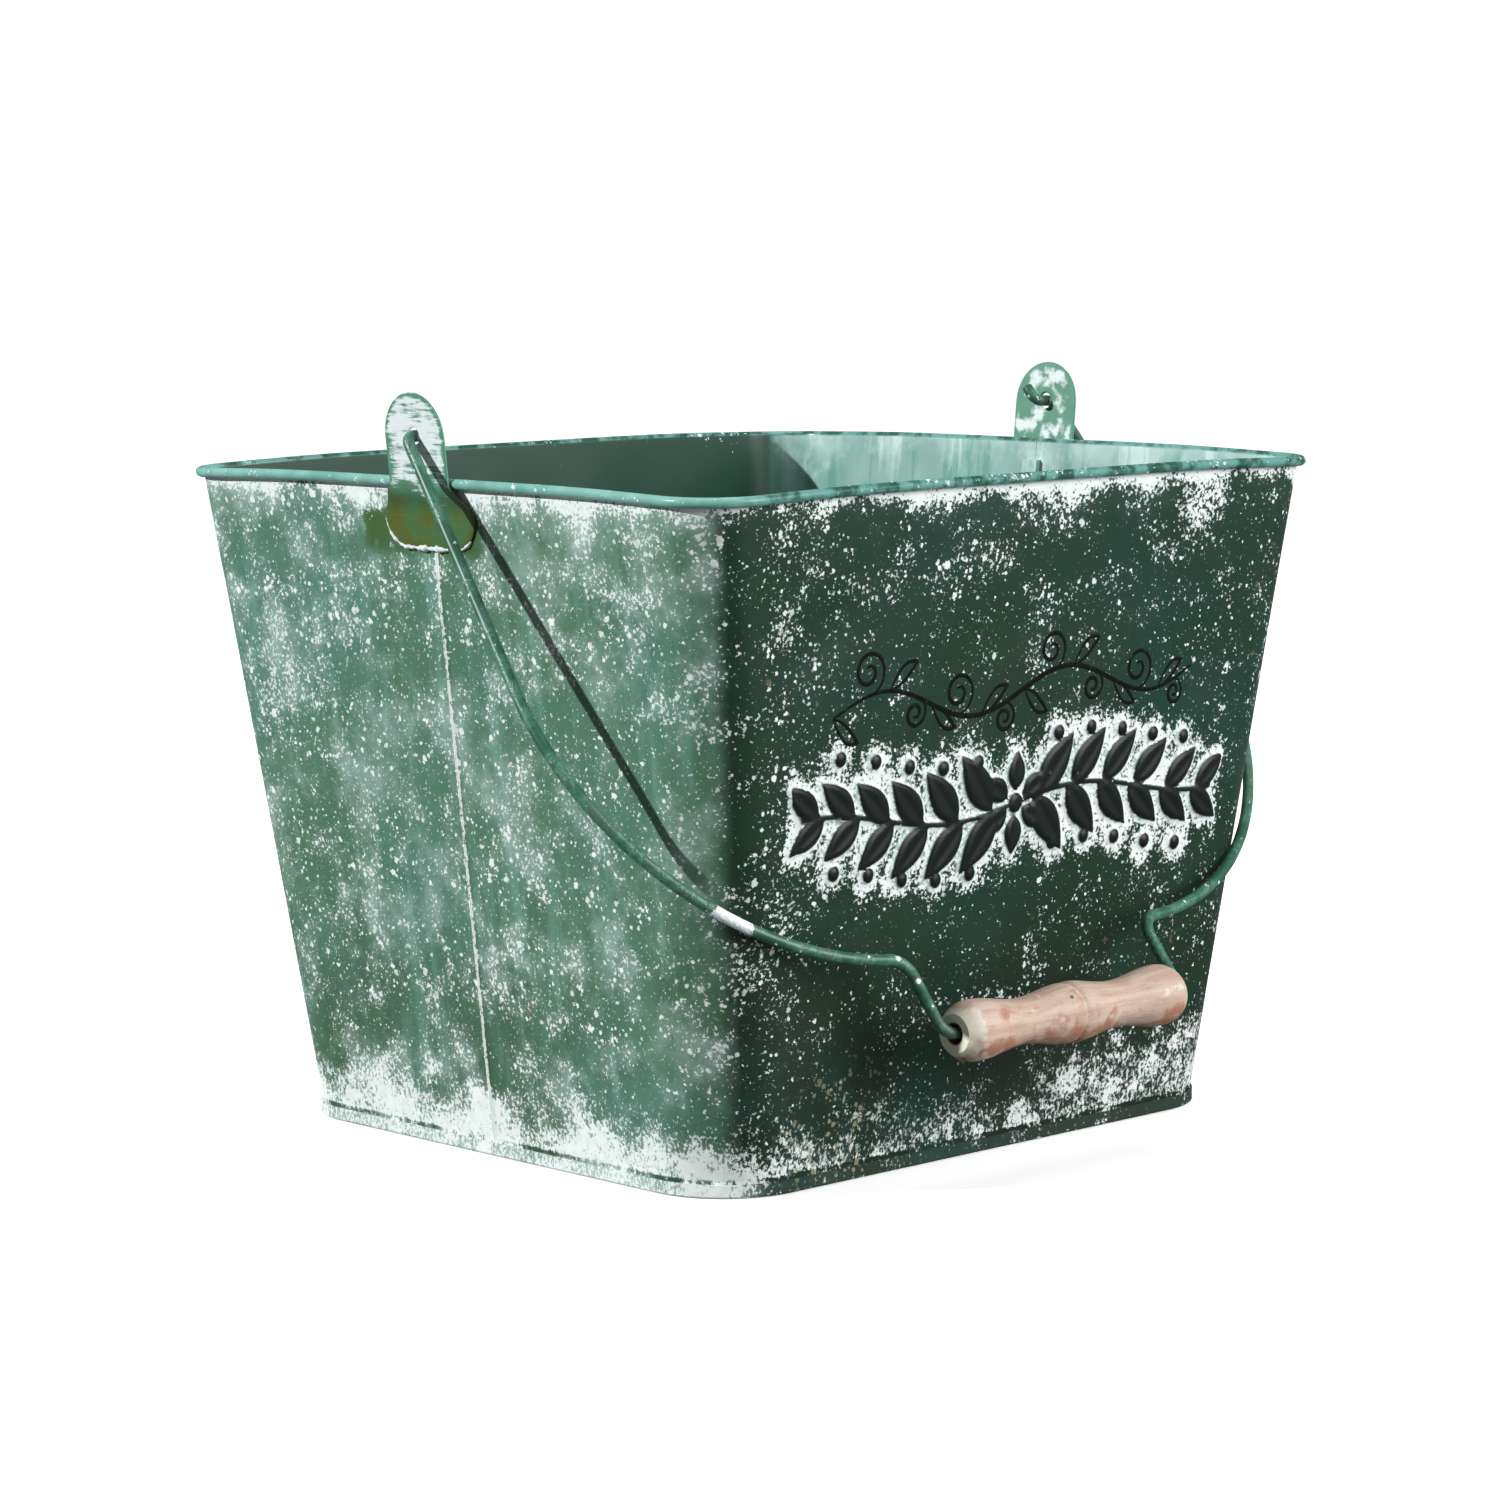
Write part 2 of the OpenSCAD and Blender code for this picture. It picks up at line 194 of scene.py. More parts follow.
def make_piece(name, shells, body, nodes=(), sharp=40, values=None):
    """One object from closed shells in millimetres, riding on a body, with its attributes."""
    points, faces, volume = [], [], 0
    for shell_points, shell_faces in shells:
        turned, v = outward(shell_points, shell_faces)
        start = sum(len(p) for p in points)
        faces += [[i + start for i in f] for f in turned]
        points.append(shell_points)
        volume += v
    mesh = bpy.data.meshes.new(name)
    mesh.from_pydata((np.vstack(points) * MM).tolist(), [], faces)
    mesh.shade_smooth()
    mesh.set_sharp_from_angle(angle=math.radians(sharp))
    for key, value in (values or {}).items():
        layer = mesh.attributes.new(key, "FLOAT", "POINT")
        layer.data.foreach_set("value", np.asarray(value, np.float32).ravel())
    piece = bpy.data.objects.new(name, mesh)
    bpy.context.scene.collection.objects.link(piece)
    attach(piece, body)
    if nodes:
        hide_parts(*nodes)
    print(name, len(faces), "faces,", round(volume / 1000, 2), "cm3, valid:", not mesh.validate())
    return piece


# %% [markdown]
# ## The ornament
# The front is pressed outwards from inside in one row of leaves and berries on a wavy
# stem. It is a height above the sheet, worked out from the distance to each leaf's edge.

# %% Leaves, berries and stem as distances
STEM_Z, STEM_WAVE, STEM_LENGTH = 96.0, 3.2, 80.0
LEAF_L, LEAF_W, LEAF_H = 21.0, 5.0, 1.3
LEAF_STEP = 12.8
FAR = 50.0  # distance, in mm, that stands for nowhere near


def stem_z(x):
    """Height of the stem at x: a slow wave."""
    return STEM_Z + STEM_WAVE * np.sin(x / 15.5)


def leaf_distance(x, z, root, angle, length, width):
    """Distance outside the edge of a pointed leaf, negative inside it. Across the leaf it
    is the distance from the midrib less the half width, which swells and narrows as a
    sine of the square root of the way along. Also returns the distance from the midrib."""
    c, s = math.cos(angle), math.sin(angle)
    along = (x - root[0]) * c + (z - root[1]) * s
    across = np.abs((z - root[1]) * c - (x - root[0]) * s)
    t = np.clip(along / length, 0, 1)
    half = width * np.sin(np.pi * t**0.8)
    beyond = np.maximum(0, np.maximum(-along, along - length))
    return np.hypot(np.maximum(across - half, 0), beyond) + np.minimum(across - half, 0), across


LEAVES = []
for side in (-1, 1):
    for i in range(6):
        x0 = side * (7 + LEAF_STEP * i)
        for up in (-1, 1):
            root = (x0 + side * (2 if up > 0 else 0), stem_z(x0))
            tilt = math.radians(52 - 3 * i)
            angle = math.atan2(up * math.sin(tilt), side * math.cos(tilt))
            size = 1 - 0.05 * i
            LEAVES.append((root, angle, LEAF_L * size, LEAF_W * size))
BERRIES = [(side * (15.5 + LEAF_STEP * i), up, 2.3) for side in (-1, 1)
           for i in range(5) for up in (-1, 1)]
PETALS = 6


def relief(x, z):
    """Height of the pressing and the distance to its edge, both in millimetres."""
    nearest = np.full(np.broadcast(x, z).shape, FAR)
    height = np.zeros_like(nearest)
    shapes = [leaf_distance(x, z, *leaf) for leaf in LEAVES]
    shapes += [
        leaf_distance(x, z, (3.2 * math.cos(a), STEM_Z + 3.2 * math.sin(a)), a, 11.5, 3.6)
        for a in np.arange(PETALS) * 2 * np.pi / PETALS + np.pi / 6
    ]
    for distance, across in shapes:
        crease = 0.7 + 0.3 * smooth(across, 0.0, 2.0)
        height = np.maximum(height, smooth(-distance, -0.7, 1.5) * crease)
        nearest = np.minimum(nearest, distance)
    for x0, up, r in BERRIES:
        d = np.hypot(x - x0, z - (stem_z(x0) + up * 15.0)) - r
        height = np.maximum(height, smooth(-d, -0.7, 1.4))
        nearest = np.minimum(nearest, d)
    d = np.hypot(x, z - STEM_Z) - 3.0
    height = np.maximum(height, smooth(-d, -0.7, 1.4) * 1.1)
    nearest = np.minimum(nearest, d)
    d = np.maximum(np.abs(z - stem_z(x)) - 0.9, np.abs(x) - STEM_LENGTH)
    height = np.maximum(height, smooth(-d, -0.9, 0.6) * 0.7)
    nearest = np.minimum(nearest, d)
    return LEAF_H * height, nearest


print(len(LEAVES), "leaves and", len(BERRIES), "berries")

# %% [markdown]
# ## The walls
# Two sheets meet at a folded seam in the middle of each side. Each sheet is a section,
# up the outside, round the rolled bead and down the inside, carried round half the plan.
# A real sheet is never flat: slow waves, a slight bulge and small dents push it in and
# out, but not where the ears, the seams and the base hold it.

# %% Waves, dents and the seam's lip
rng = np.random.default_rng(11)
TURN = 6.28  # two pi, as near as a wave in a sheet needs it
# a wave's length along and up the sheet, and its two starts
WAVES = [(rng.uniform(30, 90), rng.uniform(35, 120), *rng.uniform(0, TURN, 2)) for _ in range(7)]
# a dent's place along the face, as a share of its half width, its height, size and depth
DENTS = [(rng.uniform(-0.9, 0.9), rng.uniform(25, 165), rng.uniform(5, 12), rng.uniform(-0.5, 0.15))
         for _ in range(26)]
HALF_FACE, WAVE_H, BULGE_H = 95.0, 0.09, 0.5  # a wave and the bulge are this high
DROOP, DROOP_REACH = 1.2, 36.0  # the rim hangs a little lower at its corners
# where the sheets meet, the gap between them, and the lip raised along the front one
JOIN_Y, JOIN_GAP, LIP_H, LIP_W = -0.6, 0.16, 0.4, 0.9
print("deepest dent, mm:", round(-min(dent[3] for dent in DENTS), 2))

# %% The outline


def outline(s, z, back):
    """Foot of the section at station s and height z: the point, and the direction that
    faces out. s counts five stretches: side, corner, front, corner, side. The sheet of
    the back is the front one turned half way round, and is cut a little shorter."""
    z = z[None, :]
    s = s[:, None]
    r, w, d = corner_r(z), half_w(z), half_d(z)
    edge = JOIN_Y + JOIN_GAP if back else -JOIN_Y
    angle = np.pi + np.pi / 2 * (np.clip(s - 1, 0, 1) + np.clip(s - 3, 0, 1))
    nx, ny = np.cos(angle), np.sin(angle)
    front = np.clip(s - 2, 0, 1) * 2 - 1
    x = (w - r) * front + r * nx
    y = -(d - r) + r * ny
    y = y + np.clip(1 - s, 0, 1) * (d - r - edge) + np.clip(s - 4, 0, 1) * (d - r - edge)
    turn = -1 if back else 1
    return turn * x, turn * y, turn * nx + 0 * x, turn * ny + 0 * x


print("plan at the rim, mm:", 2 * half_w(BUCKET_H), "by", 2 * half_d(BUCKET_H))

# %% The unevenness


def unevenness(x, y, z, nx, ny, back):
    """Distance that the sheet stands out from its true surface: a bulge in each face,
    slow waves and dents, faded out at the seams, the foot and the rim."""
    along = np.where(np.abs(nx) > 0.5, y, x)
    face = np.where(nx < -0.5, 0, np.where(nx > 0.5, 1, 3 if back else 2))
    flat = smooth(np.maximum(np.abs(nx), np.abs(ny)), 0.8, 1.0)
    bulge = np.cos(np.clip(along / 100, -1, 1) * np.pi / 2) * np.sin(np.pi * z / BUCKET_H)
    bulge = BULGE_H * bulge
    wave = sum(WAVE_H * np.sin(along / a * TURN + p + face * 1.7) * np.sin(z / b * TURN + q + face)
               for a, b, p, q in WAVES)
    dent = sum(depth * np.exp(-((along - t * HALF_FACE) ** 2 + (z - h) ** 2) / size**2)
               for t, h, size, depth in DENTS)
    lip = LIP_H * np.exp(-((y - JOIN_Y) / LIP_W) ** 2) * (np.abs(nx) > 0.5)
    lip = lip * smooth(z, 5, 8) * (1 - smooth(z, 158, 164))
    held = smooth(z, 6, 20) * (1 - smooth(z, 168, 180))
    held = held * np.where(np.abs(nx) > 0.5, smooth(np.abs(y), 21, 34), 1)
    return held * (flat * (bulge + wave) + dent * flat) + lip


up = np.linspace(20, 160, 29)
left_side = unevenness(-half_w(up), 0 * up + 50, up, 0 * up - 1, 0 * up, False)
print("left side, mm out of flat:", round(float(left_side.min()), 2), round(float(left_side.max()), 2))

# %% Rows, stations, weather and painted light
CURL_POINTS = 16  # points round the rolled bead


def wall_rows(fine):
    """Heights of the rows of points, close together where the ornament is."""
    low = np.concatenate([[WALL_FOOT, 2.5, BAND_H, 5.5], np.linspace(8, 71, 18)])
    middle = np.linspace(73, 141, 92) if fine else np.linspace(75, 141, 18)
    high = np.concatenate([np.linspace(144, 179, 11), [180.5, 182, CURL_Z]])
    return np.concatenate([low, middle, high])


def wall_stations(fine):
    """Stations round half the plan, close together on the ornamented face."""
    side = np.concatenate([[0, 0.004, 0.008, 0.013, 0.02, 0.035], np.linspace(0.06, 1, 19)[:-1]])
    corner = np.linspace(0, 1, 15)[:-1]
    front = np.linspace(0, 1, 236 if fine else 40)[:-1]
    last = 1 - np.concatenate([side, [1.0]])[::-1]
    return np.concatenate([side, 1 + corner, 2 + front, 3 + corner, 4 + last])


def weathering(nx, ny, inside):
    """How much sun and rain a point has had, by the way it faces. Outside, the left side
    has had most and the front none. Inside, the value is painted light and shade: it is
    high on the right wall, which faces the key lamp, so that it is painted paler, and
    low on the others, so that they are painted a deeper green."""
    outer = smooth(-nx, 0.5, 0.8) + smooth(nx, 0.5, 0.8) * 0.8 + smooth(ny, 0.5, 0.9) * 0.35
    # inside, painted light and shade: high on the wall that faces the key lamp
    inner = smooth(nx, 0.2, 0.8) * 1.6 + smooth(-nx, 0.2, 0.8) * 0.5 + smooth(-ny, 0.4, 0.9) * 0.3
    return np.where(inside > 0, inner, outer)


print(len(wall_stations(True)), "stations round the front sheet and", len(wall_rows(True)), "rows")

# %% The rings of a wall


def wall_shell(fine, back):
    """The sheet as rings, with its attributes: how weathered each point is, which inside
    stands for painted light and shade, how far it is from the ornament's edge and from
    the seam, and whether it is on the bead or inside."""
    s, rows = wall_stations(fine), wall_rows(fine)
    curl = np.pi - CURL_TURN * np.arange(1, CURL_POINTS + 1) / CURL_POINTS
    z = np.concatenate([rows, np.full(CURL_POINTS, CURL_Z)])
    lift = np.concatenate([0 * rows, np.sin(curl)])
    reach = np.concatenate([0 * rows, np.cos(curl)])
    on_curl = np.concatenate([0 * rows, np.ones(CURL_POINTS)])
    x, y, nx, ny = outline(s, z, back)
    push = unevenness(x, y, z[None, :], nx, ny, back)
    pressed, leaf = (relief(x, z[None, :]) if fine else (0 * x, 0 * x + FAR))
    front = np.abs(ny) > 0.999
    leaf = leaf + 8 * smooth(np.abs(x), 83, 87.5)
    push = push + np.where(front, pressed, 0)
    leaf = np.where(front, leaf, FAR)
    to_corner = np.hypot(np.abs(x) - half_w(BUCKET_H), np.abs(y) - half_d(BUCKET_H))
    droop = -DROOP * np.exp(-(to_corner / DROOP_REACH) ** 2) * smooth(z[None, :], 130, 182)
    rings, values = [], []
    for radius, start, inside in ((CURL_R - SHEET, 0.0, 0.0), (CURL_R, -SHEET, 1.0)):
        u = np.where(on_curl > 0, CURL_R - SHEET + radius * reach, start)[None, :] + push
        ring = np.stack([x + nx * u, y + ny * u, (z + radius * lift)[None, :] + droop], -1)
        value = np.stack([nx, leaf, 0 * x + on_curl, 0 * x + inside, ny], -1)
        rings.append(ring if not inside else ring[:, ::-1])
        values.append(value if not inside else value[:, ::-1])
    rings, values = np.concatenate(rings, 1), np.concatenate(values, 1)
    nx, leaf, bead, inside, ny = np.moveaxis(values, -1, 0)
    to_seam = np.abs(rings[..., 1] - JOIN_Y) + FAR * (np.abs(nx) < 0.5)
    return rings, {"weather": weathering(nx, ny, inside), "leaf": leaf, "bead": bead,
                   "inside": inside, "seam": np.minimum(to_seam, FAR)}


# %% The folds of the side seams
FRONT_FOLD = [
    (SHEET / 2, FRONT_EDGE + SEAM_GAP), (2 * LAYER + SHEET, FRONT_EDGE + SEAM_GAP),
    (2 * LAYER + SHEET, LAYER - FRONT_EDGE), (2 * LAYER, LAYER - FRONT_EDGE),
    (2 * LAYER, FRONT_EDGE + SEAM_GAP - SHEET), (SHEET / 2, FRONT_EDGE + SEAM_GAP - SHEET),
]
BACK_FOLD = [
    (SHEET / 2, BACK_EDGE - SHEET / 2), (3 * LAYER, BACK_EDGE - SHEET / 2),
    (3 * LAYER, SHEET - FRONT_EDGE), (LAYER + SHEET, SHEET - FRONT_EDGE),
    (LAYER + SHEET, FRONT_EDGE - LAYER), (LAYER, FRONT_EDGE - LAYER),
    (LAYER, -FRONT_EDGE), (3 * LAYER + SHEET, -FRONT_EDGE),
    (3 * LAYER + SHEET, BACK_EDGE + SHEET / 2), (SHEET / 2, BACK_EDGE + SHEET / 2),
]
print("corners of the folds:", len(FRONT_FOLD), "and", len(BACK_FOLD))


def seam_shell(fold, side):
    """The folded layers as a prism that leans with the side face, side -1 or 1."""
    fold = np.array(fold)
    z = np.array([BAND_H + 1.5, CURL_Z - 5.0])
    x = side * (half_w(z)[:, None] - fold[None, :, 0])
    y = np.broadcast_to(fold[None, :, 1], x.shape)
    return shell(np.stack([x, y, np.broadcast_to(z[:, None], x.shape)], -1))


# %% Build the two walls
def wall(name, fine, back, fold):
    """One wall: its sheet and the folds of its two seams, as a single piece. The folds are
    plain and have the attributes of a place far from leaves and seams, with a high
    weather value that paints them pale, as painted light over the shade they lie in."""
    rings, values = wall_shell(fine, back)
    seams = [seam_shell(fold, side) for side in (-1, 1)]
    extra = sum(len(points) for points, _ in seams)
    # the folds' high weather value paints them pale: painted light over their shade
    fill = {"weather": 1.7, "leaf": FAR, "bead": 0.0, "inside": 1.0, "seam": FAR}
    values = {k: np.concatenate([v.ravel(), np.full(extra, fill[k])]) for k, v in values.items()}
    return make_piece(name, [shell(rings), *seams], "bucket", [name[:-6]],
                      values=values)


front_sheet = wall("front_wall_sheet", True, False, FRONT_FOLD)
back_sheet = wall("back_wall_sheet", False, True, BACK_FOLD)

# %% [markdown]
# ## The painted vine
# Over the pressed leaves a thin vine is painted by hand in black: one wave with curls.
# Paint has thickness, so each stroke is a flat ribbon a twentieth of a millimetre proud,
# laid on the sheet as it really lies. A stroke swells in the middle as a brush does.

# %% Vine strokes
VINE_Z, VINE_X0, VINE_X1 = 126.5, -70.0, 69.0


def vine_z(x):
    """Height of the vine at x: a wave that climbs a little to the right."""
    return VINE_Z + 5.0 * np.sin(x / 11.0) + 0.02 * x


def curl(x0, way, size):
    """A tendril: it leaves the vine and winds inwards, its radius falling evenly."""
    turn = np.linspace(0, 1, 70)
    angle = way * (-np.pi / 2 + turn * 3.2 * np.pi)
    radius = size * (1 - 0.82 * turn)
    cx, cz = x0, vine_z(x0) + way * size
    return np.stack([cx + radius * np.cos(angle), cz + radius * np.sin(angle)], -1)


def leaf_stroke(x0, way):
    """A small painted leaf: two arcs from the vine to a tip and back."""
    t = np.linspace(0, 1, 24)
    x, z = 9.5 * t, 7.0 * t
    there = np.stack([x0 + x, vine_z(x0) + way * (z + 2.8 * np.sin(np.pi * t))], -1)
    back = np.stack([x0 + x, vine_z(x0) + way * (z - 1.4 * np.sin(np.pi * t))], -1)[::-1]
    return np.vstack([there, back[1:]])


def front_y(x, z):
    """The front sheet's outer surface at (x, z), pressing and unevenness included."""
    flat = -half_d(z)
    push = unevenness(x, flat, z, 0 * x, 0 * x - 1, False)
    return flat - push - relief(x, z)[0]


def ribbon(points, width):
    """A flat closed ribbon along points (x, z), widest in its middle."""
    heading = np.gradient(points, axis=0)
    heading /= np.maximum(np.linalg.norm(heading, axis=1, keepdims=True), 1e-9)
    side = np.stack([-heading[:, 1], heading[:, 0]], -1)
    swell = 0.35 + 0.65 * np.sin(np.pi * np.linspace(0.03, 0.97, len(points))) ** 0.6
    half = (width / 2 * swell)[:, None, None] * side[:, None, :]
    spread = points[:, None, :] + half * np.array([-1, -0.6, 0.6, 1, 1, -1])[None, :, None]
    lift = np.array([0.0, 0.05, 0.05, 0.0, -0.12, -0.12])
    y = front_y(spread[..., 0], spread[..., 1]) - lift
    return np.stack([spread[..., 0], y, spread[..., 1]], -1)


wave = np.linspace(VINE_X0, VINE_X1, 260)
strokes = [(np.stack([wave, vine_z(wave)], -1), 1.5)]
strokes += [(curl(x0, way, size), 1.25) for x0, way, size in (
    (-58, 1, 6.4), (-40, -1, 4.4), (-24, 1, 6.0), (-6, -1, 4.2), (11, 1, 5.8), (28, -1, 4.4),
    (46, 1, 6.0), (62, -1, 3.8))]
strokes += [(leaf_stroke(x0, way), 1.1) for x0, way in (
    (-70, -1), (-50, 1), (-34, -1), (-15, 1), (1, -1), (20, 1), (36, -1), (55, 1))]
vine = make_piece("painted_vine", [shell(ribbon(*stroke)) for stroke in strokes], "bucket")

# %% [markdown]
# ## The ears
# Each ear is a flat plate, cut to a tongue over a wider tab, and bent so that it lies on
# the wall, steps out past the bead and leans up beside it. It is a ring of points from
# the hole out to the edge, over the rounded edge, and back to the hole on the other face.
# The angle under the tab is filled with a thin uneven bead of filler and old paint.

# %% Ear outline and bend
EAR_T, EAR_W, TAB_W, TAB_R = 0.7, 24.0, 37.0, 9.0
EAR_TOP, EAR_FOOT, EAR_HOLE = 207.5, 166.0, 4.6
TONGUE_FOOT = BUCKET_H - 2
EAR_GAP = 0.1
EAR_LEAN = math.tan(math.radians(6))
BEAD_OUT = TOP_W / 2 - SHEET + BEAD_D


def ear_x(z):
    """Distance of the plate's inner face from the middle plane: flat on the wall, then a
    step out past the bead, then the lean of the tongue. The bends are eased."""
    steps = np.linspace(-0.8, 0.8, 9)
    knots = [EAR_FOOT - 2, BUCKET_H - BEAD_D - 5, BUCKET_H - BEAD_D - 1, EAR_TOP + 2]
    xs = [half_w(knots[0]) + EAR_GAP, half_w(knots[1]) + EAR_GAP,
          BEAD_OUT + EAR_GAP + (knots[2] - CURL_Z) * EAR_LEAN,
          BEAD_OUT + EAR_GAP + (knots[3] - CURL_Z) * EAR_LEAN]
    return np.mean([np.interp(z + s, knots, xs) for s in steps], axis=0)


def ear_edge(count):
    """Points (y, z) round the plate's outline, evenly spaced: a half circle over straight
    sides, shoulders that spread to the tab, and the tab's two round lower corners."""
    top = np.radians(np.linspace(0, 180, 40))
    arch = np.stack([EAR_W / 2 * np.cos(top), EAR_TOP - EAR_W / 2 + EAR_W / 2 * np.sin(top)], -1)
    tab_y = TAB_W / 2 - TAB_R
    left = np.radians(np.linspace(180, 270, 24))
    right = np.radians(np.linspace(270, 360, 24))
    lower = [np.stack([c + TAB_R * np.cos(a), EAR_FOOT + TAB_R + TAB_R * np.sin(a)], -1)
             for c, a in ((-tab_y, left), (tab_y, right))]
    path = np.vstack([arch, [[-EAR_W / 2, TONGUE_FOOT]], *lower, [[EAR_W / 2, TONGUE_FOOT]]])
    path = np.vstack([path, path[:1]])
    length = np.concatenate([[0], np.cumsum(np.linalg.norm(np.diff(path, axis=0), axis=1))])
    at = np.linspace(0, length[-1], count, endpoint=False)
    return np.stack([np.interp(at, length, path[:, i]) for i in range(2)], -1)


def ear_shell(side):
    """Rings round the plate, each from the hole's edge to the outline and back."""
    edge = ear_edge(150)
    centre = np.array([0.0, PIVOT_Z])
    away = edge - centre
    far = np.linalg.norm(away, axis=1, keepdims=True)
    unit = away / far
    t = np.concatenate([[0.0], np.linspace(0.02, 0.985, 16), [1.0]])
    profile = [(v, 0.0) for v in t[:-1]] + [(1.0, 0.15), (1.0, EAR_T - 0.15)]
    profile += [(v, EAR_T) for v in t[-2:0:-1]] + [(0.0, EAR_T - 0.1), (0.0, 0.1)]
    profile = np.array(profile[1:])
    radius = EAR_HOLE / 2 + (far - EAR_HOLE / 2) * profile[None, :, 0]
    yz = centre + unit[:, None, :] * radius[..., None]
    x = side * (ear_x(yz[..., 1]) + profile[None, :, 1])
    rings = np.concatenate([x[..., None], yz], -1)
    outer = np.broadcast_to(profile[None, :, 1] / EAR_T, x.shape)
    rim = np.abs(1 - profile[None, :, 0]) * far
    return rings, {"outer": outer, "rim": rim}


print("ear, mm:", EAR_W, "wide,", EAR_TOP - EAR_FOOT, "high,", round(float(ear_x(EAR_TOP)), 1), "out")

# %% Filler under the tab
FILLER_POINTS = 90


def filler_shell(side):
    """A thin uneven bead of filler and paint in the angle between the tab's lower edge
    and the wall: a small circle carried along the edge, its radius a sum of sines."""
    edge = ear_edge(300)
    low = edge[(edge[:, 1] < EAR_FOOT + 7.5) & (edge[:, 0] > -16)]
    at = np.linspace(0, len(low) - 1, FILLER_POINTS)
    y, z = (np.interp(at, np.arange(len(low)), low[:, i]) for i in range(2))
    ends = np.sin(np.pi * np.linspace(0.02, 0.98, FILLER_POINTS)) ** 0.4
    radius = (0.85 + 0.22 * np.sin(at / 2.3) + 0.14 * np.sin(at / 0.9 + 2)) * ends
    x = half_w(z) + 0.35
    a = np.linspace(0, 2 * np.pi, 12, endpoint=False)
    out = np.stack([y, z - EAR_FOOT - TAB_R], -1)
    out /= np.linalg.norm(out, axis=1, keepdims=True)
    round_y = y[:, None] + out[:, :1] * radius[:, None] * np.cos(a)
    round_z = z[:, None] + out[:, 1:] * radius[:, None] * np.cos(a)
    proud = np.maximum(radius[:, None] * np.sin(a), -0.55)
    return np.stack([side * (x[:, None] + proud), round_y, round_z], -1)


# %% Build the two ears
for side, name in ((-1, "left_ear"), (1, "right_ear")):
    rings, values = ear_shell(side)
    bead = filler_shell(side)
    size = bead.shape[0] * bead.shape[1]
    values["ridge"] = 0 * values["outer"]
    fill = {"outer": 1.0, "rim": 9.0, "ridge": 1.0}  # the filler counts as outside
    values = {k: np.concatenate([v.ravel(), np.full(size, fill[k])]) for k, v in values.items()}
    make_piece(name + "_plate", [shell(rings, loop=True), shell(bead)], "bucket",
               [name], values=values)

# %% [markdown]
# ## The bail
# One wire, bent flat and hung from the ears: a short tail inside each ear, a straight
# leg, a big round shoulder, a kink, and the straight stretch that carries the grip. The
# path is drawn flat, hanging straight down, and is then turned to its rest angle.

# %% The bail's path
WIRE_D, BAIL_DROP = 3.2, 196.5
SHOULDER_R, SHOULDER_X, SHOULDER_DROP = 86.0, 45.0, 87.0
KINK_R, GRIP_BEND_R, EAR_BEND_R, TAIL_L = 6.0, 4.5, 2.8, 3.0
KINKS = {-1: 48.5, 1: 43.5}  # where the wire turns down on the left and on the right
WIRE_STEP = 1.1  # between two rings of the wire
SPLAY = math.radians(4.447)
EAR_OUT = BEAD_OUT + EAR_GAP + (PIVOT_Z - CURL_Z) * EAR_LEAN


def arc(centre, radius, start, end, count):
    """Points on an arc, angles in radians."""
    a = np.linspace(start, end, count)
    return np.stack([centre[0] + radius * np.cos(a), centre[1] + radius * np.sin(a)], -1)


def half_bail(kink):
    """Path from the tail to the middle for the half at negative x."""
    tail_x = EAR_OUT - WIRE_D / 2
    ear_c = np.array([-(EAR_OUT + EAR_T), -EAR_BEND_R])
    shoulder = np.array([-SHOULDER_X, -SHOULDER_DROP])
    kink_c = np.array([-(kink + KINK_R), -SHOULDER_DROP - math.sqrt(
        (SHOULDER_R + KINK_R) ** 2 - (kink + KINK_R - SHOULDER_X) ** 2)])
    turn = 2 * math.pi + math.atan2(kink_c[1] - shoulder[1], kink_c[0] - shoulder[0])
    grip_c = np.array([-kink + GRIP_BEND_R, -BAIL_DROP + GRIP_BEND_R])
    tail_c = np.array([-tail_x, EAR_BEND_R])
    return np.vstack([
        np.linspace(tail_c + [EAR_BEND_R, TAIL_L], tail_c + [EAR_BEND_R, 0.3], 3),
        arc(tail_c, EAR_BEND_R, 0, -math.pi / 2, 8),
        arc(ear_c, EAR_BEND_R, math.pi / 2, math.pi - SPLAY, 9),
        arc(shoulder, SHOULDER_R, math.pi - SPLAY, turn, 70),
        arc(kink_c, KINK_R, turn - math.pi, 0, 12)[1:],
        arc(grip_c, GRIP_BEND_R, math.pi, 1.5 * math.pi, 9),
        [[-12.0, -BAIL_DROP]],
    ])


left, right = half_bail(KINKS[-1]), half_bail(KINKS[1])[::-1] * [-1, 1]
bends = np.vstack([left, right])
length = np.concatenate([[0], np.cumsum(np.linalg.norm(np.diff(bends, axis=0), axis=1))])
stops = np.arange(0, length[-1], WIRE_STEP)
path = np.stack([np.interp(stops, length, bends[:, i]) for i in range(2)], -1)
print("length of the wire, mm:", round(float(length[-1]), 1))

# %% Sweep the wire
AROUND = 18


def hang(flat, off):
    """Turns a flat point, and its distance off the flat, to the bail's rest angle."""
    c, s = math.cos(REST_ANGLE), math.sin(REST_ANGLE)
    return np.stack([flat[..., 0], -off * c + flat[..., 1] * s,
                     off * s + flat[..., 1] * c + PIVOT_Z], -1)


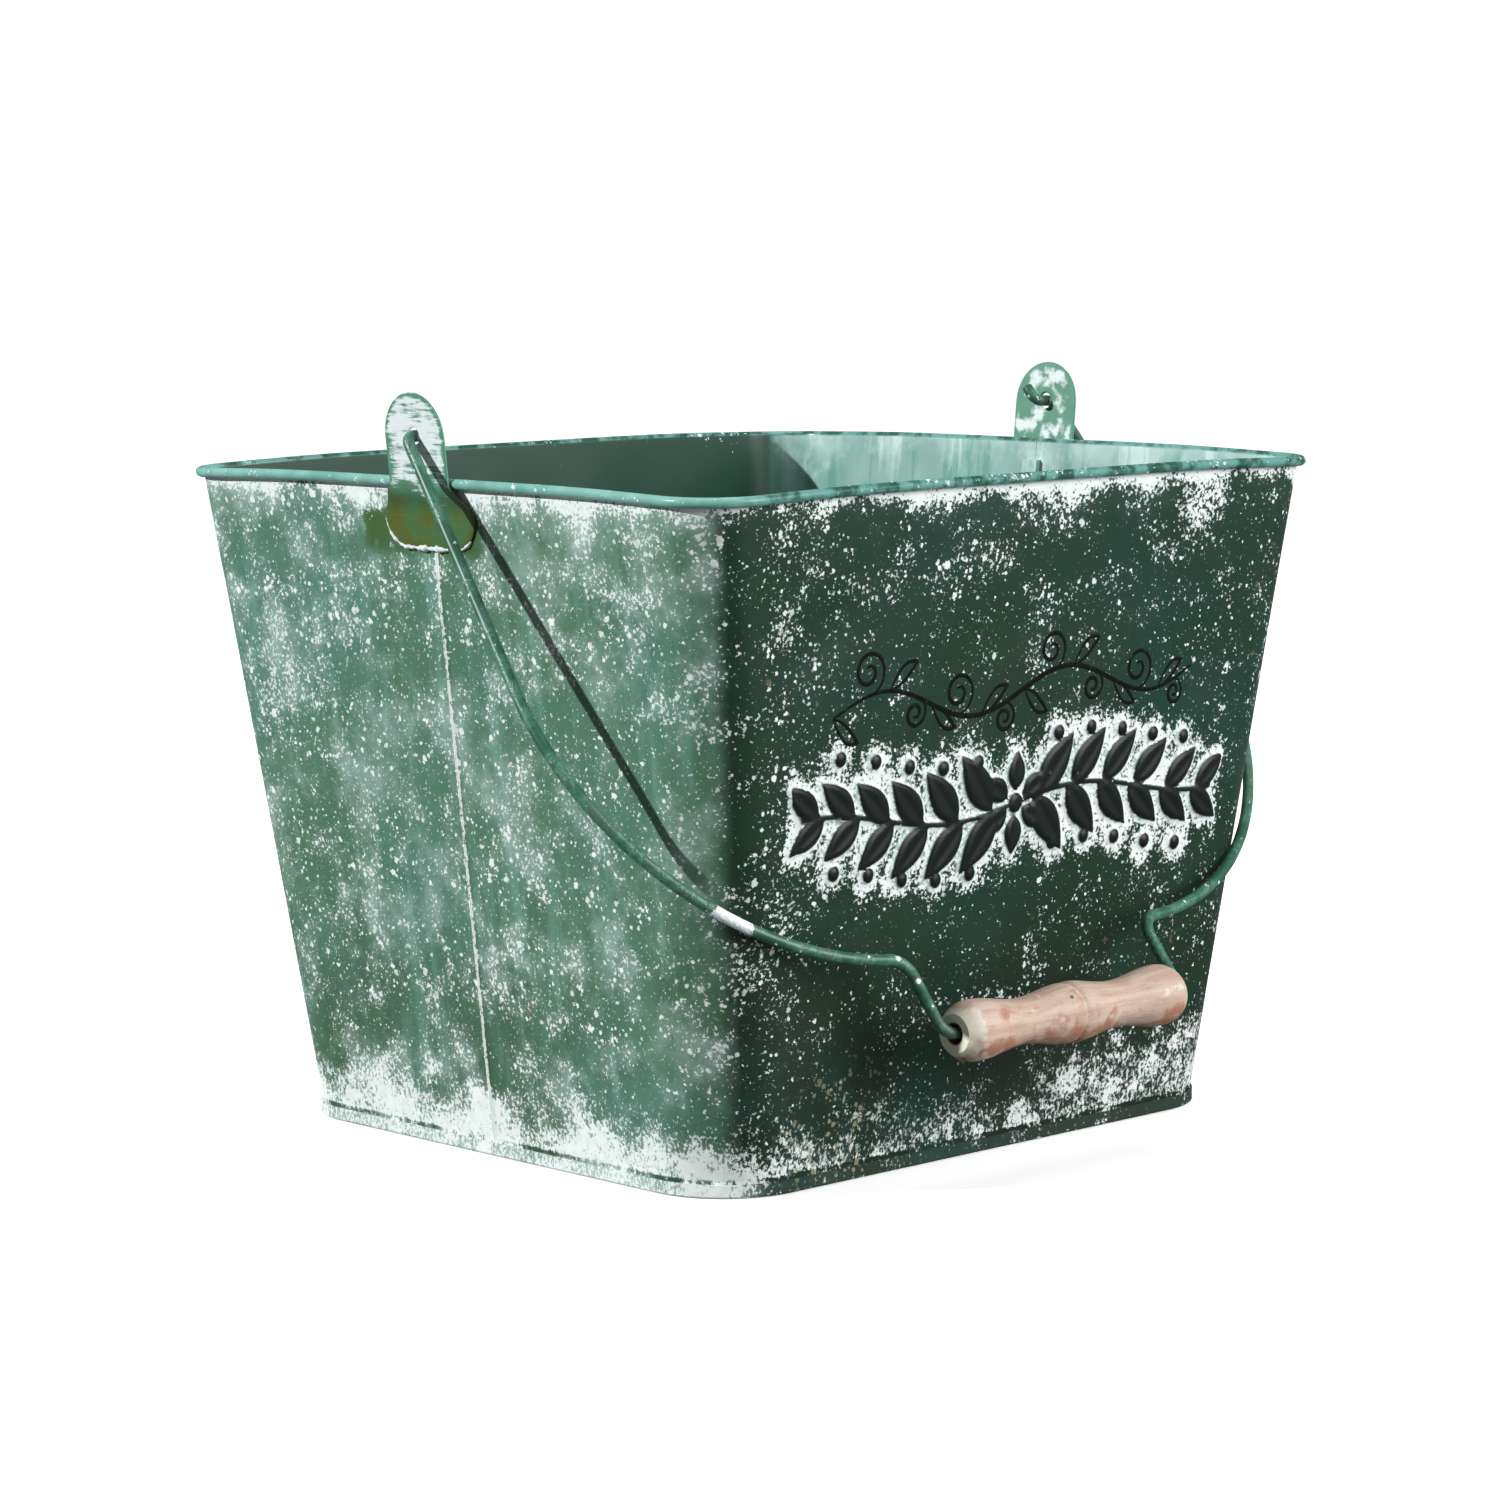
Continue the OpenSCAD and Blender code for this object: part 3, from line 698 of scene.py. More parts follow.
def wire_rings(path):
    """Circles along the path. Paint has run a little, so the radius varies by a few
    hundredths, and each end closes over in three smaller rings."""
    heading = np.gradient(path, axis=0)
    heading /= np.linalg.norm(heading, axis=1, keepdims=True)
    normal = np.stack([-heading[:, 1], heading[:, 0]], -1)
    at = np.arange(len(path)) * WIRE_STEP
    radius = WIRE_D / 2 + 0.025 * np.sin(at / 3.1) * np.sin(at / 7.7 + 1) - 0.02
    caps = np.array([0.35, 0.75, 0.95])
    ends = [path[:1] - heading[:1] * WIRE_D / 2 * (np.sqrt(1 - caps**2) - 0.3)[:, None] * 0.5,
            path[-1:] + heading[-1:] * WIRE_D / 2 * (np.sqrt(1 - caps**2) - 0.3)[::-1, None] * 0.5]
    centres = np.vstack([ends[0], path, ends[1]])
    normals = np.vstack([normal[[0] * 3], normal, normal[[-1] * 3]])
    radii = np.concatenate([caps * radius[0], radius, caps[::-1] * radius[-1]])
    a = np.linspace(0, 2 * np.pi, AROUND, endpoint=False)
    flat = centres[:, None, :] + (radii[:, None] * np.cos(a))[..., None] * normals[:, None, :]
    return hang(flat, radii[:, None] * np.sin(a))


rings = wire_rings(path)
make_piece("bail_wire", [shell(rings)], "bail", ["bail"])

# %% [markdown]
# ## The grip
# A piece of turned wood, two bulbs at the ends, two necks and a belly with one groove
# round its middle. It is a lathe profile carried round the wire, out along the surface
# and back through the bore, so it closes on itself with no ends.

# %% The grip's profile
GRIP_L, GRIP_D, NECK_D, FACE_D, ROUND_L = 85.0, 17.0, 13.0, 11.0, 6.5
BORE_D, MOUTH, GRIP_OFF = 5.0, 0.6, 2.5
GROOVE_H, GROOVE = 0.5, (0.3, 1.1)  # its depth, and where its floor ends and its side ends
BULB_AT = GRIP_L / 2 - ROUND_L
GRIP_AROUND, BORE_RINGS = 72, 6
AXIS = hang(np.array([-GRIP_OFF, -BAIL_DROP]), 0.0)


def grip_profile():
    """(distance along, radius) from the left mouth over the outside to the right one."""
    x = np.linspace(0, BULB_AT, 46)
    swell = (NECK_D + (GRIP_D - NECK_D) * (1 + np.cos(2 * np.pi * x / BULB_AT)) / 2) / 2
    swell = swell - GROOVE_H * (1 - smooth(x, *GROOVE))
    reach = ROUND_L / math.sqrt(1 - (FACE_D / GRIP_D) ** 2)
    over = np.linspace(0, ROUND_L, 12)[1:]
    shoulder = GRIP_D / 2 * np.sqrt(1 - (over / reach) ** 2)
    face = [(GRIP_L / 2 - 0.02, FACE_D / 2 - 0.5), (GRIP_L / 2, BORE_D / 2 + MOUTH + 0.6),
            (GRIP_L / 2 - 0.15, BORE_D / 2 + MOUTH * 0.5), (GRIP_L / 2 - MOUTH, BORE_D / 2)]
    half = np.vstack([np.stack([x, swell], -1), np.stack([BULB_AT + over, shoulder], -1), face])
    return np.vstack([half[:0:-1] * [-1, 1], half])


def grip_rings():
    """The profile carried round. The wood is a little out of round and has worn flatter
    on one side, and the step beside the groove is a slight change of radius."""
    profile = grip_profile()
    a = np.linspace(0, 2 * np.pi, GRIP_AROUND, endpoint=False)[:, None]
    x, r = profile[None, :, 0], profile[None, :, 1]
    skin = smooth(r, BORE_D / 2 + 1, BORE_D / 2 + 2.5)
    wear = 0.10 * np.cos(2 * a + 0.4) + 0.07 * np.sin(3 * a + x / 14) - 0.05
    step = 0.16 * smooth(x, 0.0, 1.5) - 0.08
    r = r + skin * (wear + step - 0.1)
    bore = np.linspace(GRIP_L / 2 - MOUTH - 4, -GRIP_L / 2 + MOUTH + 4, BORE_RINGS)[None, :]
    through = (GRIP_AROUND, BORE_RINGS)
    x = np.concatenate([np.broadcast_to(x, r.shape), np.broadcast_to(bore, through)], 1)
    r = np.concatenate([r, np.full(through, BORE_D / 2)], 1)
    return np.stack([AXIS[0] + x, AXIS[1] + r * np.cos(a), AXIS[2] + r * np.sin(a)], -1)


# %% Build the grip
rings = grip_rings()
from_axis = np.hypot(rings[..., 1] - AXIS[1], rings[..., 2] - AXIS[2])
end = smooth(np.abs(rings[..., 0] - AXIS[0]), GRIP_L / 2 - 2.0, GRIP_L / 2 - 0.2)
make_piece("grip_wood", [shell(rings, loop=True)], "grip", ["grip"],
           values={"from_axis": from_axis, "end": end})

# %% [markdown]
# ## Colours
# Colours are written as a paint maker would, in sRGB hex, and one function turns them
# into the linear values that the shader works in.

# %% Colours


def linear(colour):
    """Linear RGBA of an sRGB hex colour, by the standard's curve on each channel."""
    c = np.array([int(colour[i:i + 2], 16) for i in (1, 3, 5)]) / 255
    c = np.where(c <= 0.04045, c / 12.92, ((c + 0.055) / 1.055) ** 2.4)
    return (*c.tolist(), 1.0)


NEARLY_BLACK = linear("#101814")
WASH, WASH_SHADE = linear("#f2f7f9"), linear("#cddad2")
print("the wash gives back", round(100 * WASH[1]), "% of the green light")

# %% [markdown]
# ## Nodes
# A finish is a sum of patterns: noise, cut to patches, times a share, plus the next. One
# function adds any node, and the settings that come again and again have plain names.
# Writing the sums out one node at a time is long, but each can be looked at by itself.

# %% One function for every node
TIMES, PLUS, MINUS, TIMES_PLUS, LARGER, SMALLER, POWER, SIZE = (
    {"operation": operation} for operation in (
        "MULTIPLY", "ADD", "SUBTRACT", "MULTIPLY_ADD", "MAXIMUM", "MINIMUM", "POWER", "ABSOLUTE"))
SMOOTH = {"interpolation_type": "SMOOTHSTEP"}  # a Map Range with eased ends
COLOUR = {"data_type": "RGBA", "take": 2}  # a Mix of colours: share 0, first 6, second 7


def add(tree, kind, *inputs, take=0, **named):
    """Adds a node and returns the output that take numbers or names, or several of them
    for a slice. Inputs come in the order of the sockets, or as one dict by number. A name
    with a capital is a socket too, and a name in small letters is the node's setting."""
    node = tree.nodes.new("ShaderNode" + kind)
    for key in [key for key in named if key[0].islower()]:
        setattr(node, key, named.pop(key))
    by_number = inputs and isinstance(inputs[0], dict)
    numbered = inputs[0] if by_number else dict(enumerate(inputs))
    for key, value in {**numbered, **named}.items():
        if isinstance(value, bpy.types.NodeSocket):
            tree.links.new(value, node.inputs[key])
        else:
            node.inputs[key].default_value = value
    return node.outputs[take]


# %% A material, its coordinates and its links


def new_material(name, **values):
    """A material with one Principled shader, whose fixed values are set on it."""
    material = bpy.data.materials.new(name)
    material.use_nodes = True
    shader = material.node_tree.nodes["Principled BSDF"]
    for key, value in values.items():
        shader.inputs[key.replace("_", " ")].default_value = value
    return material, material.node_tree


def join(material, **sockets):
    """Joins what was worked out to the shader's inputs and says how long the sum is."""
    tree = material.node_tree
    shader = tree.nodes["Principled BSDF"]
    for key, socket in sockets.items():
        tree.links.new(socket, shader.inputs[key.replace("_", " ")])
    print(material.name, "has", len(tree.nodes), "nodes")


def millimetres(tree):
    """Object coordinates in millimetres, so a pattern's scale is 1 over its size in mm."""
    place = add(tree, "TexCoord", take="Object")
    return add(tree, "VectorMath", place, Scale=1 / MM, operation="SCALE")


# %% Patches and places


def patches(tree, place, size, detail, rough, *cut):
    """Noise of a size in mm, cut: 0 below the first number of the cut and 1 above the
    second, smooth between, or from the third to the fourth if they are given."""
    shade = add(tree, "TexNoise", place, Scale=1 / size, Detail=detail, Roughness=rough)
    return add(tree, "MapRange", shade, *cut, **SMOOTH)


def close_to(tree, mm, centre, *cut):
    """A soft ball round a point: the cut's first distance is outside, its second inside."""
    away = add(tree, "VectorMath", mm, centre, operation="DISTANCE", take="Value")
    return add(tree, "MapRange", away, *cut, **SMOOTH)


# %% Round specks
SPECK_POWER = 2.2  # most specks are small and a few are large


def dots(tree, place, spacing, cover):
    """Round specks, one to each cell of the given spacing in mm. Its radius is a random
    number to a power, times the cover, and a finer noise breaks its outline."""
    shift = add(tree, "TexNoise", place, Scale=3 / spacing, Detail=3, take="Color")
    reach = (0.6 * spacing,) * 3
    moved = add(tree, "VectorMath", shift, reach, place, **TIMES_PLUS)
    distance, random = add(tree, "TexVoronoi", moved, Scale=1 / spacing, take=slice(2))
    chance = add(tree, "SeparateColor", random)
    radius = add(tree, "Math", chance, SPECK_POWER, **POWER)
    radius = add(tree, "Math", radius, cover, **TIMES)
    depth = add(tree, "Math", radius, distance, **MINUS)
    return add(tree, "MapRange", depth, 0, 0.07, **SMOOTH)


# %% [markdown]
# ## Limewashed enamel on steel
# Sheet steel, sprayed with a dark green satin enamel, then dabbed and brushed with a thin
# chalky white wash. The eye sees deep green under white specks and blots; the wash lies
# thick under the rim and along the foot and sits round the pressed leaves, and the left
# side has faded to a paler, bluer green. One flat colour with one noise can't do this, so
# the paint, a thin film of wash and its grains are worked out one after another.

# %% What a point of the sheet knows


def surface(tree, walls):
    """Where a point is, in mm, and the attributes of the walls. The base pan has none, so
    its weather is 1 at its left edge. The bead counts neither as inside nor as outside."""
    s = SimpleNamespace(mm=millimetres(tree))
    s.x, s.y, s.z = add(tree, "SeparateXYZ", s.mm, take=slice(3))
    if not walls:
        s.weather = add(tree, "MapRange", s.x, -80, -95, **SMOOTH)
        return s
    s.weather, s.leaf, s.bead, s.inside, s.seam = (
        add(tree, "Attribute", attribute_name=key, take="Fac")
        for key in ("weather", "leaf", "bead", "inside", "seam"))
    off_bead = add(tree, "Math", 1.0, s.bead, **MINUS)
    s.inside = add(tree, "Math", s.inside, off_bead, **TIMES)
    s.outside = add(tree, "Math", 1.0, s.inside, **MINUS)
    return s


# %% The enamel
# bluer, leafier and low-down greens, fresh and then faded
FRESH = [linear(c) for c in ("#12352a", "#163121", "#1a261a")]
FADED = [linear(c) for c in ("#4e7969", "#4a7058", "#3d5d45")]
BLEACHED_AND_LIT, RUN_COLOUR = linear("#97bcb8"), linear("#7fb0a6")
HUE_MM, LOW_MM, FADE_MM, RUN_MM = 70, 40, 34, 8  # sizes of the clouds and the runs
DARKER_BELOW = (95, 25)  # heights between which the paint darkens
ALONG_RUNS = (1, 1, 0.06)  # runs are some seventeen times as long as they are wide


def enamel(tree, s):
    """The paint: two greens in slow clouds, a darker one low down, faded and then
    bleached as the weather rises, with pale runs where it is weathered. The bleached
    colour is reached only inside, on the wall that faces the key lamp and on the seam
    folds, where it is painted light as well as bleaching."""
    hue = patches(tree, s.mm, HUE_MM, 2, 0.6, 0.34, 0.64)
    low = patches(tree, s.mm, LOW_MM, 4, 0.6, 0.34, 0.58)
    height = add(tree, "MapRange", s.z, *DARKER_BELOW, 0, 0.85, **SMOOTH)
    low = add(tree, "Math", low, height, **TIMES)
    coats = []
    for blue, leaf, dark in (FRESH, FADED):
        coat = add(tree, "Mix", {0: hue, 6: blue, 7: leaf}, **COLOUR)
        coats.append(add(tree, "Mix", {0: low, 6: coat, 7: dark}, **COLOUR))
    s.cloud = add(tree, "TexNoise", s.mm, Scale=1 / FADE_MM, Detail=3, Roughness=0.6)
    faded = add(tree, "Math", s.cloud, 0.6, s.weather, **TIMES_PLUS)
    share = add(tree, "MapRange", faded, 0.3, 1.4, **SMOOTH)
    paint = add(tree, "Mix", {0: share, 6: coats[0], 7: coats[1]}, **COLOUR)
    # the palest step: only inside, where it is painted light as well as bleaching
    share = add(tree, "MapRange", faded, 1.5, 2.2, **SMOOTH)
    paint = add(tree, "Mix", {0: share, 6: paint, 7: BLEACHED_AND_LIT}, **COLOUR)
    s.runs = add(tree, "Mapping", s.mm, Scale=ALONG_RUNS)
    run = patches(tree, s.runs, RUN_MM, 4, 0.6, 0.50, 0.72, 0, 0.30)
    run = add(tree, "Math", run, s.weather, **TIMES)
    s.paint = add(tree, "Mix", {0: run, 6: paint, 7: RUN_COLOUR}, **COLOUR)


# %% How much wash lies where
RAGGED_MM, HAZE_MM, CLUSTER_MM, PATCH_MM = 20, 26, 13, 42
RAGGED_BY = 44.0  # mm that the noise moves the edges of the two bands, up and down together
RISE_TO_RIGHT = -0.15  # the foot band climbs this much per mm across the fresh front
# each band from its edge to where it is full: first the film, then the grains
FOOT_FILM, FOOT_GRAINS = (20, -6), (30, 0)
HEAD_FILM, HEAD_GRAINS = (168, 188), (173, 187)
NEAR_CORNER, CORNER_BAND = 86.0, (15, 4)


def lay(tree, total, weather, parts):
    """Adds parts to a total. Each part counts gain times the weather and light value, plus base."""
    for part, gain, base in parts:
        share = add(tree, "Math", weather, gain, base, **TIMES_PLUS)
        total = add(tree, "Math", part, share, total, **TIMES_PLUS)
    return total


def wash(tree, s, walls):
    """The film, 0 to 1 of a thin veil, and the amount, how closely the grains lie: haze
    and clusters everywhere, and the two ragged bands along the foot and under the rim."""
    ragged = add(tree, "TexNoise", s.mm, Scale=1 / RAGGED_MM, Detail=6, Roughness=0.65)
    s.ragged = add(tree, "Math", ragged, RAGGED_BY, -RAGGED_BY / 2, **TIMES_PLUS)
    fresh = add(tree, "Math", 1.0, s.weather, **MINUS)
    fresh = add(tree, "Math", fresh, 0.0, **LARGER)
    right = add(tree, "Math", s.x, 0.0, **LARGER)
    right = add(tree, "Math", right, fresh, **TIMES)
    level = add(tree, "Math", right, RISE_TO_RIGHT, s.z, **TIMES_PLUS)
    s.foot = add(tree, "Math", level, s.ragged, **PLUS)
    head = add(tree, "Math", s.z, s.ragged, **PLUS)
    haze = patches(tree, s.mm, HAZE_MM, 6, 0.62, 0.44, 0.74, 0, 0.30)
    crowd = patches(tree, s.mm, CLUSTER_MM, 5, 0.7, 0.42, 0.66)
    patch = patches(tree, s.mm, PATCH_MM, 2, 0.6, 0.32, 0.60, 0.4, 1.0)
    crowd = add(tree, "Math", crowd, patch, **TIMES)
    foot, top = (add(tree, "MapRange", at, *band, **SMOOTH)
                 for at, band in ((s.foot, FOOT_FILM), (head, HEAD_FILM)))
    s.film = lay(tree, 0.0, s.weather, (
        (haze, 0.88, 0.04), (foot, 0.64, 0.02), (top, 0.46, 0.04), (crowd, 0.15, 0.0)))
    foot, top = (add(tree, "MapRange", at, *band, **SMOOTH)
                 for at, band in ((s.foot, FOOT_GRAINS), (head, HEAD_GRAINS)))
    at_foot = (0.14, 0.60) if walls else (0.30, 0.22)
    amount = add(tree, "Math", s.weather, 0.16, 0.16, **TIMES_PLUS)
    amount = lay(tree, amount, s.weather, (
        (crowd, -0.02, 0.44), (foot, *at_foot), (top, -0.30, 0.84)))
    corner = add(tree, "Math", s.x, NEAR_CORNER, **PLUS)
    corner = add(tree, "Math", corner, **SIZE)
    corner = add(tree, "MapRange", corner, *CORNER_BAND, 0, 0.14, **SMOOTH)
    s.amount = add(tree, "Math", amount, corner, **PLUS)


# %% Wash on the walls' details
BRUSH_DAB = (68.0, -107.0, 175.0)  # one heavier dab of the wash, under the rim
UNDER_RIM = (176.5, 181.0)  # a closer line of wash, right under the bead
ROUND_LEAF, LEAF_FOOT, SEAM_LINE = (6.5, 0.2), (-0.9, 0.2), (0.9, 0.3)  # mm off the edges


def wash_on_details(tree, s):
    """More grains on a dab, under the bead, along the seams and round the pressing."""
    dab = close_to(tree, s.mm, BRUSH_DAB, 15, 5, 0, 0.55)
    seam = add(tree, "MapRange", s.seam, *SEAM_LINE, 0, 0.8, **SMOOTH)
    close = add(tree, "Math", s.ragged, 0.22, s.z, **TIMES_PLUS)
    close = add(tree, "MapRange", close, *UNDER_RIM, 0, 0.34, **SMOOTH)
    close = add(tree, "Math", close, s.outside, **TIMES)
    around = add(tree, "MapRange", s.leaf, *ROUND_LEAF, 0, 0.75, **SMOOTH)
    foot = add(tree, "MapRange", s.leaf, *LEAF_FOOT, **SMOOTH)
    around = add(tree, "Math", around, foot, **TIMES)
    for part in (dab, seam, close, around):
        s.amount = add(tree, "Math", s.amount, part, **PLUS)
    veil = add(tree, "MapRange", s.leaf, 1.5, 0.3, 0, 0.75, **SMOOTH)
    s.film = add(tree, "Math", s.film, veil, **PLUS)


# %% The bead, and paint that has gone
BEAD = linear("#265447"), linear("#5f938a")
# a lit copy of the bead's teal, painted light on the left
BEAD_PAINTED_LIT = linear("#5f9f92"), linear("#9ccec4")
# the second colour is painted shade: the deep green of the inside walls with a low weather value
OLIVE, SHADED_INSIDE_GREEN, STREAKED = linear("#405f32"), linear("#0c3a29"), linear("#4c8a7a")
TAB_AT_Y, TAB_AT_Z = 5.0, 170.0  # middle of the bare patch round the left ear's tab
PAINTED_LIGHT_FROM_X = (-98, -110)  # x from which the bead is painted lighter, as painted light from the key lamp


def bead_paint(tree, s):
    """The rolled bead keeps a brighter teal. On the left it is painted lighter still, as
    painted light where the key lamp rakes it.
    """
    teal = patches(tree, s.mm, 7, 4, 0.6, 0.40, 0.58)
    teal = add(tree, "Mix", {0: teal, 6: BEAD[0], 7: BEAD[1]}, **COLOUR)
    paint = add(tree, "Mix", {0: s.bead, 6: s.paint, 7: teal}, **COLOUR)
    # painted light: the bead turns lighter towards the left
    lit_share = add(tree, "MapRange", s.x, *PAINTED_LIGHT_FROM_X, 0, 0.7, **SMOOTH)
    lit_share = add(tree, "Math", s.bead, lit_share, **TIMES)
    light = add(tree, "Mix", {0: s.cloud, 6: BEAD_PAINTED_LIT[0], 7: BEAD_PAINTED_LIT[1]}, **COLOUR)
    s.paint = add(tree, "Mix", {0: lit_share, 6: paint, 7: light}, **COLOUR)


def bare_patch(tree, s):
    """1 on a rectangle round the tab of the left ear, whose edges a noise breaks."""
    parts = []
    for axis, middle, edge in ((s.y, TAB_AT_Y, (27, 21)), (s.z, TAB_AT_Z, (7, 3.5))):
        off = add(tree, "Math", axis, middle, **MINUS)
        off = add(tree, "Math", off, **SIZE)
        parts.append(add(tree, "MapRange", off, *edge, **SMOOTH))
    parts.append(add(tree, "MapRange", s.x, -90, -100, **SMOOTH))
    broken = add(tree, "TexNoise", s.mm, Scale=1 / 5, Detail=4, Roughness=0.6)
    parts.append(add(tree, "MapRange", broken, 0.36, 0.5, **SMOOTH))
    bare = s.outside
    for part in parts:
        bare = add(tree, "Math", bare, part, **TIMES)
    return bare


def lines(tree, s):
    """The dark line under the bead, which is painted shadow of the bead, and the broken
    dark line above the hem at the foot.
    """
    # painted shadow: a dark line just under the bead
    shade_below = add(tree, "MapRange", s.z, 179.5, 181.5, 0, 0.7, **SMOOTH)
    off_bead = add(tree, "MapRange", s.bead, 0.5, 0.0, **SMOOTH)
    shade_below = add(tree, "Math", shade_below, off_bead, **TIMES)
    shade_below = add(tree, "Math", shade_below, s.outside, **TIMES)
    broken = patches(tree, s.mm, 12, 6, 0.75, 0.30, 0.66)
    hem = add(tree, "MapRange", s.z, 5.2, 4.3, 0, 0.5, **SMOOTH)
    return shade_below, add(tree, "Math", hem, broken, **TIMES)


# %% Inside, seams and leaves


def wall_paint(tree, s):
    """Everything that only the walls have, from the bead down to the hem. Inside, the walls
    with a low weather value are painted a deep green, as painted shade. On the wall that
    faces the key lamp the wash has run down in streaks, and these streaks and a thicker
    film also paint it paler, as painted light. Each part then takes its share off the
    film and the grains."""
    bead_paint(tree, s)
    bare = bare_patch(tree, s)
    shade_below, hem = lines(tree, s)
    # painted shade: a deep green on the inside walls with a low weather value
    painted_shade_inside = add(tree, "MapRange", s.weather, 1.0, 0.4, 0, 0.85, **SMOOTH)
    painted_shade_inside = add(tree, "Math", s.inside, painted_shade_inside, **TIMES)
    # the inside wall that faces the key lamp: its streaks and film paint it paler, as painted light
    lit_inside_wall = add(tree, "MapRange", s.weather, 0.7, 1.3, **SMOOTH)
    lit_inside_wall = add(tree, "Math", s.inside, lit_inside_wall, **TIMES)
    streak = patches(tree, s.runs, 7, 4, 0.6, 0.50, 0.62, 0, 0.6)
    streak = add(tree, "Math", streak, lit_inside_wall, **TIMES)
    on_leaf = add(tree, "MapRange", s.leaf, 0.2, -0.7, **SMOOTH)
    # the line under the bead is painted shadow
    for share, colour in ((bare, OLIVE), (shade_below, NEARLY_BLACK), (hem, NEARLY_BLACK),
                          (painted_shade_inside, SHADED_INSIDE_GREEN), (streak, STREAKED),
                          (on_leaf, NEARLY_BLACK)):
        s.paint = add(tree, "Mix", {0: share, 6: s.paint, 7: colour}, **COLOUR)
    run = patches(tree, s.runs, 11, 5, 0.6, 0.52, 0.64, 0, 0.7)
    s.film = add(tree, "Math", run, lit_inside_wall, s.film, **TIMES_PLUS)
    for part, off_film, off_grains in ((bare, 1, 0.6), (hem, 1, 1.2), (s.bead, 1, 1.15),
                                       (s.inside, 0.36, 1.05), (on_leaf, 1, 0.6)):
        s.film = add(tree, "Math", part, -off_film, s.film, **TIMES_PLUS)
        s.amount = add(tree, "Math", part, -off_grains, s.amount, **TIMES_PLUS)


# %% Grains and specks of wash
GRAIN_MM, BRUSH_MM, SPECK_MM, BLOT_MM = 1.0, 0.9, 1.7, 3.4
ALONG_BRUSH = (1, 1, 0.5)  # brushed grains are twice as tall as they are wide
GRAIN_CUT = (0.72, 0.795)  # grain noise above this is white


def grains(tree, s):
    """How white a point is. Fine grains are where a noise plus 0.3 of the amount is above
    a cut, so that they close up as the wash thickens; near the foot half of that noise
    is drawn tall, as a brush leaves it. Round specks lie over them, fewer at the foot."""
    tall = add(tree, "Mapping", s.mm, Scale=ALONG_BRUSH)
    brush = add(tree, "TexNoise", tall, Scale=1 / BRUSH_MM, Detail=4, Roughness=0.72)
    grain = add(tree, "TexNoise", s.mm, Scale=1 / GRAIN_MM, Detail=3, Roughness=0.6)
    brushed = add(tree, "MapRange", s.foot, 40, 10, 0, 0.55, **SMOOTH)
    grain = add(tree, "Mix", {0: brushed, 2: grain, 3: brush})
    white = add(tree, "Math", s.amount, 0.30, grain, **TIMES_PLUS)
    white = add(tree, "MapRange", white, *GRAIN_CUT, **SMOOTH)
    above = add(tree, "MapRange", s.foot, 2, 45, **SMOOTH)
    specks = add(tree, "Math", s.amount, above, **TIMES)
    specks = add(tree, "Math", specks, 0.55, **SMALLER)
    for spacing, gain, least in ((SPECK_MM, 0.66, 0.16), (BLOT_MM, 0.58, 0.10)):
        cover = add(tree, "Math", specks, gain, least, **TIMES_PLUS)
        white = add(tree, "Math", white, dots(tree, s.mm, spacing, cover), **LARGER)
    return white


# %% The whole finish
HAZE, DIRT, BEIGE = linear("#c0d8d4"), linear("#6b5f45"), linear("#8f8d72")
FOOT_STAIN = (-58.0, -93.0, 13.0)  # beige flecks, low on the front
FLECK_MM, GRIME_MM = 1.6, 9.0
ALONG_LINES = (1, 1, 0.12)  # fine brush lines in the enamel


def painted_sheet(name, walls):
    """Paint, then the film over it, then grains and specks, then dirt. The wash is dull
    and stands a little proud, and the enamel is satin, glossier on the bead."""
    material, tree = new_material(name, IOR=1.5, Specular_IOR_Level=0.25)
    s = surface(tree, walls)
    enamel(tree, s)
    wash(tree, s, walls)
    if walls:
        wash_on_details(tree, s)
        wall_paint(tree, s)
    film = add(tree, "Math", s.film, 0.0, **LARGER)
    film = add(tree, "Math", film, 0.9, **SMALLER)
    colour = add(tree, "Mix", {0: film, 6: s.paint, 7: HAZE}, **COLOUR)
    white = grains(tree, s)
    thick = patches(tree, s.mm, 5, 4, 0.6, 0.32, 0.62, 0.58, 0.96)
    thick = add(tree, "Math", thick, s.amount, **LARGER)
    thick = add(tree, "Math", thick, 0.95, **SMALLER)
    covered = add(tree, "Math", white, thick, **TIMES)
    chalk = add(tree, "TexNoise", s.mm, Scale=1 / 3, Detail=3, Roughness=0.6)
    chalk = add(tree, "Mix", {0: chalk, 6: WASH_SHADE, 7: WASH}, **COLOUR)
    grime = add(tree, "Math", dots(tree, s.mm, GRIME_MM, 0.17), 0.7, **TIMES)
    near = close_to(tree, s.mm, FOOT_STAIN, 27, 8, 0, 0.85)
    fleck = add(tree, "Math", dots(tree, s.mm, FLECK_MM, 0.60), near, **TIMES)
    for share, over in ((covered, chalk), (grime, DIRT), (fleck, BEIGE)):
        colour = add(tree, "Mix", {0: share, 6: colour, 7: over}, **COLOUR)
    rough = add(tree, "Math", white, 0.36, 0.40, **TIMES_PLUS)
    if walls:
        rough = add(tree, "Math", s.bead, -0.14, rough, **TIMES_PLUS)
    drawn = add(tree, "Mapping", s.mm, Scale=ALONG_LINES)
    drawn = add(tree, "TexNoise", drawn, Scale=1 / BRUSH_MM, Detail=2, Roughness=0.6)
    height = add(tree, "Math", drawn, 0.02, **TIMES)
    height = add(tree, "Math", white, 0.06, height, **TIMES_PLUS)
    bump = add(tree, "Bump", Height=height, Distance=0.001, Strength=0.8)
    join(material, Base_Color=colour, Roughness=rough, Normal=bump)
    return material


